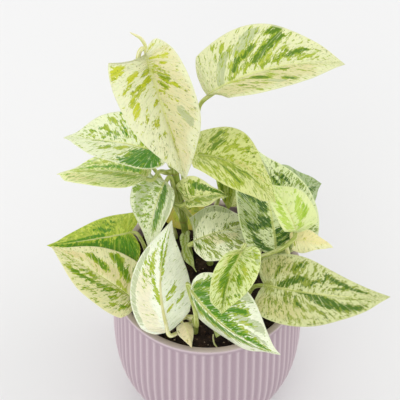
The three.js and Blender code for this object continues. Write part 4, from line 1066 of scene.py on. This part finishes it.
def variegated(name, paint):
    """A blade's finish: inks and tints that fray along its side veins, specks, pale veins and margin. Its
    beige tint is partly painted shade, and its pale veins and margin are partly painted highlight.
    """
    material, start, shader = finish(name + "_skin", sappy(0.3, 0.1, 0.0012, (0.7, 1.0, 0.3)))
    vein = start.fact("vein")
    row, out, beneath = (vein.axis(k) for k in range(3))
    side = out.maths("ABSOLUTE", out)
    inks = start.fact("inks")
    green, deep, yellow = (inks.axis(k) for k in range(3))
    tints = start.fact("tints")
    wash, beige_and_shade = (tints.axis(k) for k in range(2))
    place = start.fact("grain")
    streak = (place.times(STREAK_GRAIN).grain(1.0, 7.0, 0.68, 0.25) - 0.5) * 3.4
    fray = (place.times(FRAY_GRAIN).plus((31.0, 17.0, 5.0)).grain(1.0, 7.0, 0.66, 0.25) - 0.5) * 3.0
    cloud = place.times(CLOUD_GRAIN).plus((11.0, 7.0, 2.0)).grain(1.0, 3.0)
    speck = place.times(SPECK_GRAIN).grain(1.0, 3.0, 0.62)
    threads = place.times(THREAD_GRAIN).plus((3.0, 9.0, 1.0)).grain(1.0, 2.0)
    fibres = place.times(FIBRE_GRAIN).grain(1.0, 3.0)
    fine_veins = row * 2.0 - side * 0.5
    fine_veins = fine_veins.maths("PINGPONG", fine_veins, 0.5).rise(0.1, 0.0)
    cream = paint["cream"]
    bright = paint.get("yellow", YELLOW_GREEN)
    beige_and_shaded = tuple(a * b for a, b in zip(linear(cream), BEIGE_AND_SHADE))
    # Painted shade and beige: the beige tint darkens the cream along its strokes.
    body = (beige_and_shade + (cloud - 0.5) * 1.4).rise(0.1, 0.7).blend(cream, beige_and_shaded)
    body = (fray.rise(-0.1, 0.5) * 0.3).blend(body, WASH_GREEN)
    washed = (wash + fray * 0.4 + (cloud - 0.5) * 0.4).rise(0.3, 0.5) * 0.7
    body = washed.blend(body, WASH_GREEN)
    body = (yellow + fray * 0.8 - 0.1).rise(0.4, 0.5).blend(body, bright)
    ink = fray.rise(-0.3, 0.3).blend(paint["green"], bright)
    ink = (fray * 0.6 + cloud - 0.5).rise(0.14, 0.22).blend(ink, paint["deep"])
    body = (green + streak).rise(0.48, 0.58).blend(body, ink)
    body = (deep + fray * 1.1 - 0.1).rise(0.4, 0.5).blend(body, paint["deep"])
    body = (threads.rise(0.6, 0.68) * 0.5).blend(body, cream)
    spots = (speck + cloud * 0.25 + paint["specks"] * 0.15).rise(0.83, 0.88)
    body = (spots * 0.75).blend(body, SPECK_BROWN)
    # Thin pale lines along the side veins: partly the veins' own paler colour, partly painted highlight of
    # light on their relief.
    body = (fine_veins * side.rise(0.02, 0.15) * 0.14).blend(body, cream)
    ribbed = side.rise(0.05, 0.012) * row.rise(TIP_ROW, 7.0)
    body = (ribbed * 0.65).blend(body, RIB_PALE)
    # A thin pale margin: partly the blade's own cream edge, partly painted highlight where the edge catches
    # the light.
    body = (side.rise(0.955, 0.985) * 0.7).blend(body, cream)
    body = (beneath * 0.4).blend(body, UNDER_PALE)
    feed(start, shader, Base_Color=body, Roughness=cloud * 0.25 + 0.32,
         Normal=relief(start, threads * 0.4 + fibres * 0.4 - fine_veins * 0.4, 0.4))
    return material


def stalk_finish(name, dark, light, stripes):
    """Smooth young skin, clouded between two greens, with thin pale stripes along it."""
    material, start, shader = finish(name, sappy(0.45, 0.1))
    grow = start.fact("grow")
    stripe = grow.times((1.0, 1.0, 0.03)).grain(1.6, 3.0, 0.6)
    cloud = grow.times((1.0, 1.0, 0.15)).grain(1.0, 3.0)
    body = cloud.rise(0.35, 0.65).blend(dark, light)
    body = stripe.rise(0.52, 0.64).blend(body, stripes)
    feed(start, shader, Base_Color=body, Roughness=cloud * 0.2 + 0.35, Normal=relief(start, stripe, 0.2))
    return material


green_stalk = stalk_finish("leaf_stalk", "#98a840", "#bac172", "#e0e2a8")
pale_stalk = stalk_finish("pale_stalk", "#c8c878", "#dedca4", "#efecc4")
PALE_STALKS = {"leaf_top_left", "leaf_front_white", "leaf_right_cream", "sheath"}
CREAM_LEAVES = {"leaf_top_right", "leaf_top_left", "leaf_left_high", "leaf_left_upper", "leaf_left_low",
                "leaf_front_white", "leaf_centre_back", "leaf_right_cream", "leaf_front_right"}
SEED_STEP = 1.37
for number, (leaf, leaf_row) in enumerate(LEAVES.items()):
    leaf_slot = "cream_leaf" if leaf in CREAM_LEAVES else "green_leaf"
    if leaf == "sheath":
        leaf_slot = "dry_sheath"
    leaf_stalk = pale_stalk if leaf in PALE_STALKS else green_stalk
    leaf_piece(leaf, PAINT[leaf], leaf_stalk, leaf_slot, number * SEED_STEP, **leaf_row)

# The youngest leaf, still rolled up like a cigar at the crown, and one thin pale root that lies on the soil.
ROLLED_PATH = [[-39.2, 37.2, 316.8], [-40, 43, 324], [-43, 44, 334], [-50, 35, 350]]
ROLLED_RADII = [0.9, 1.1, 1.2, 0.9, 0.35]
ROOT_PATH = [[4, -48, 128.8], [4, -52, 128.4], [5, -56, 127.95], [8, -60, 127.3]]
ROOT_RADII = [0.5, 0.6, 0.6, 0.4]


def tapered(path, radii, sides, step):
    """A tube along a path, with its radii spread evenly from end to end."""
    def radius_at(share, turn):
        return np.full(len(turn), np.interp(share, np.linspace(0, 1, len(radii)), radii))

    return tube(Route(path), radius_at, sides, step)


young_material = stalk_finish("young_leaf", "#e6e4a8", "#efecc0", "#d5d98c")
rolled_points, rolled_faces, rolled_facts = tapered(ROLLED_PATH, ROLLED_RADII, 24, 0.8)
piece("rolled_leaf", rolled_points, rolled_faces, young_material, "cream_leaf", ["leaf_rolled"],
      {"grow": rolled_facts})
root_points, root_faces, root_facts = tapered(ROOT_PATH, ROOT_RADII, 10, 0.5)
piece("thin_root", root_points, root_faces, young_material, "dry_sheath", ["root"], {"grow": root_facts})

# The studio: a wide pale floor, soft light from high behind and from both sides, and the camera in front,
# which looks down on the plant.
CAMERA_PLACE = (-0.00552, -0.64978, 1.02836)
CAMERA_TILT = 51.1
CAMERA_LENS = 135
FLOOR_REACH = 6
FLOOR_GREY = "#e3e3e3"
ROOM_WHITE = "#fbfbfb"
ROOM_STRENGTH = 0.9
LIT_PLACE = Vector((0, 0, 0.2))
LIGHTS = {
    "light_back": ((-0.3, 1.1, 1.6), 1.6, 5),
    "light_right": ((1.5, 0.1, 1.0), 1.2, 7),
    "light_left": ((-1.5, 0.0, 0.6), 1.2, 4.5),
    "light_front": ((-0.6, -1.5, 1.5), 1.4, 9),
}


def studio():
    material, _, shader = finish("pale_floor", {"Roughness": 0.9, "Specular IOR Level": 0.1})
    shader.inputs["Base Color"].default_value = linear(FLOOR_GREY)
    mesh = bpy.data.meshes.new("floor")
    corners = [(x * FLOOR_REACH, y * FLOOR_REACH, 0) for x, y in ((-1, -1), (1, -1), (1, 1), (-1, 1))]
    mesh.from_pydata(corners, [], [(0, 1, 2, 3)])
    mesh.materials.append(material)
    floor = bpy.data.objects.new("floor", mesh)
    bpy.context.scene.collection.objects.link(floor)
    for name, (place, size, power) in LIGHTS.items():
        light = bpy.data.lights.new(name, "AREA")
        light.size = size
        light.energy = power
        lamp = bpy.data.objects.new(name, light)
        lamp.location = place
        lamp.rotation_euler = (LIT_PLACE - Vector(place)).to_track_quat("-Z", "Y").to_euler()
        bpy.context.scene.collection.objects.link(lamp)
    world = bpy.data.worlds.new("room")
    world.use_nodes = True
    background = world.node_tree.nodes["Background"]
    background.inputs["Color"].default_value = linear(ROOM_WHITE)
    background.inputs["Strength"].default_value = ROOM_STRENGTH
    bpy.context.scene.world = world
    bpy.context.scene.view_settings.view_transform = "Standard"


studio()
camera = bpy.data.objects.new("camera", bpy.data.cameras.new("camera"))
camera.data.lens = CAMERA_LENS
camera.data.clip_start = 0.05
camera.location = CAMERA_PLACE
camera.rotation_euler = (math.radians(90 - CAMERA_TILT), 0, 0)
bpy.context.scene.collection.objects.link(camera)
bpy.context.scene.camera = camera
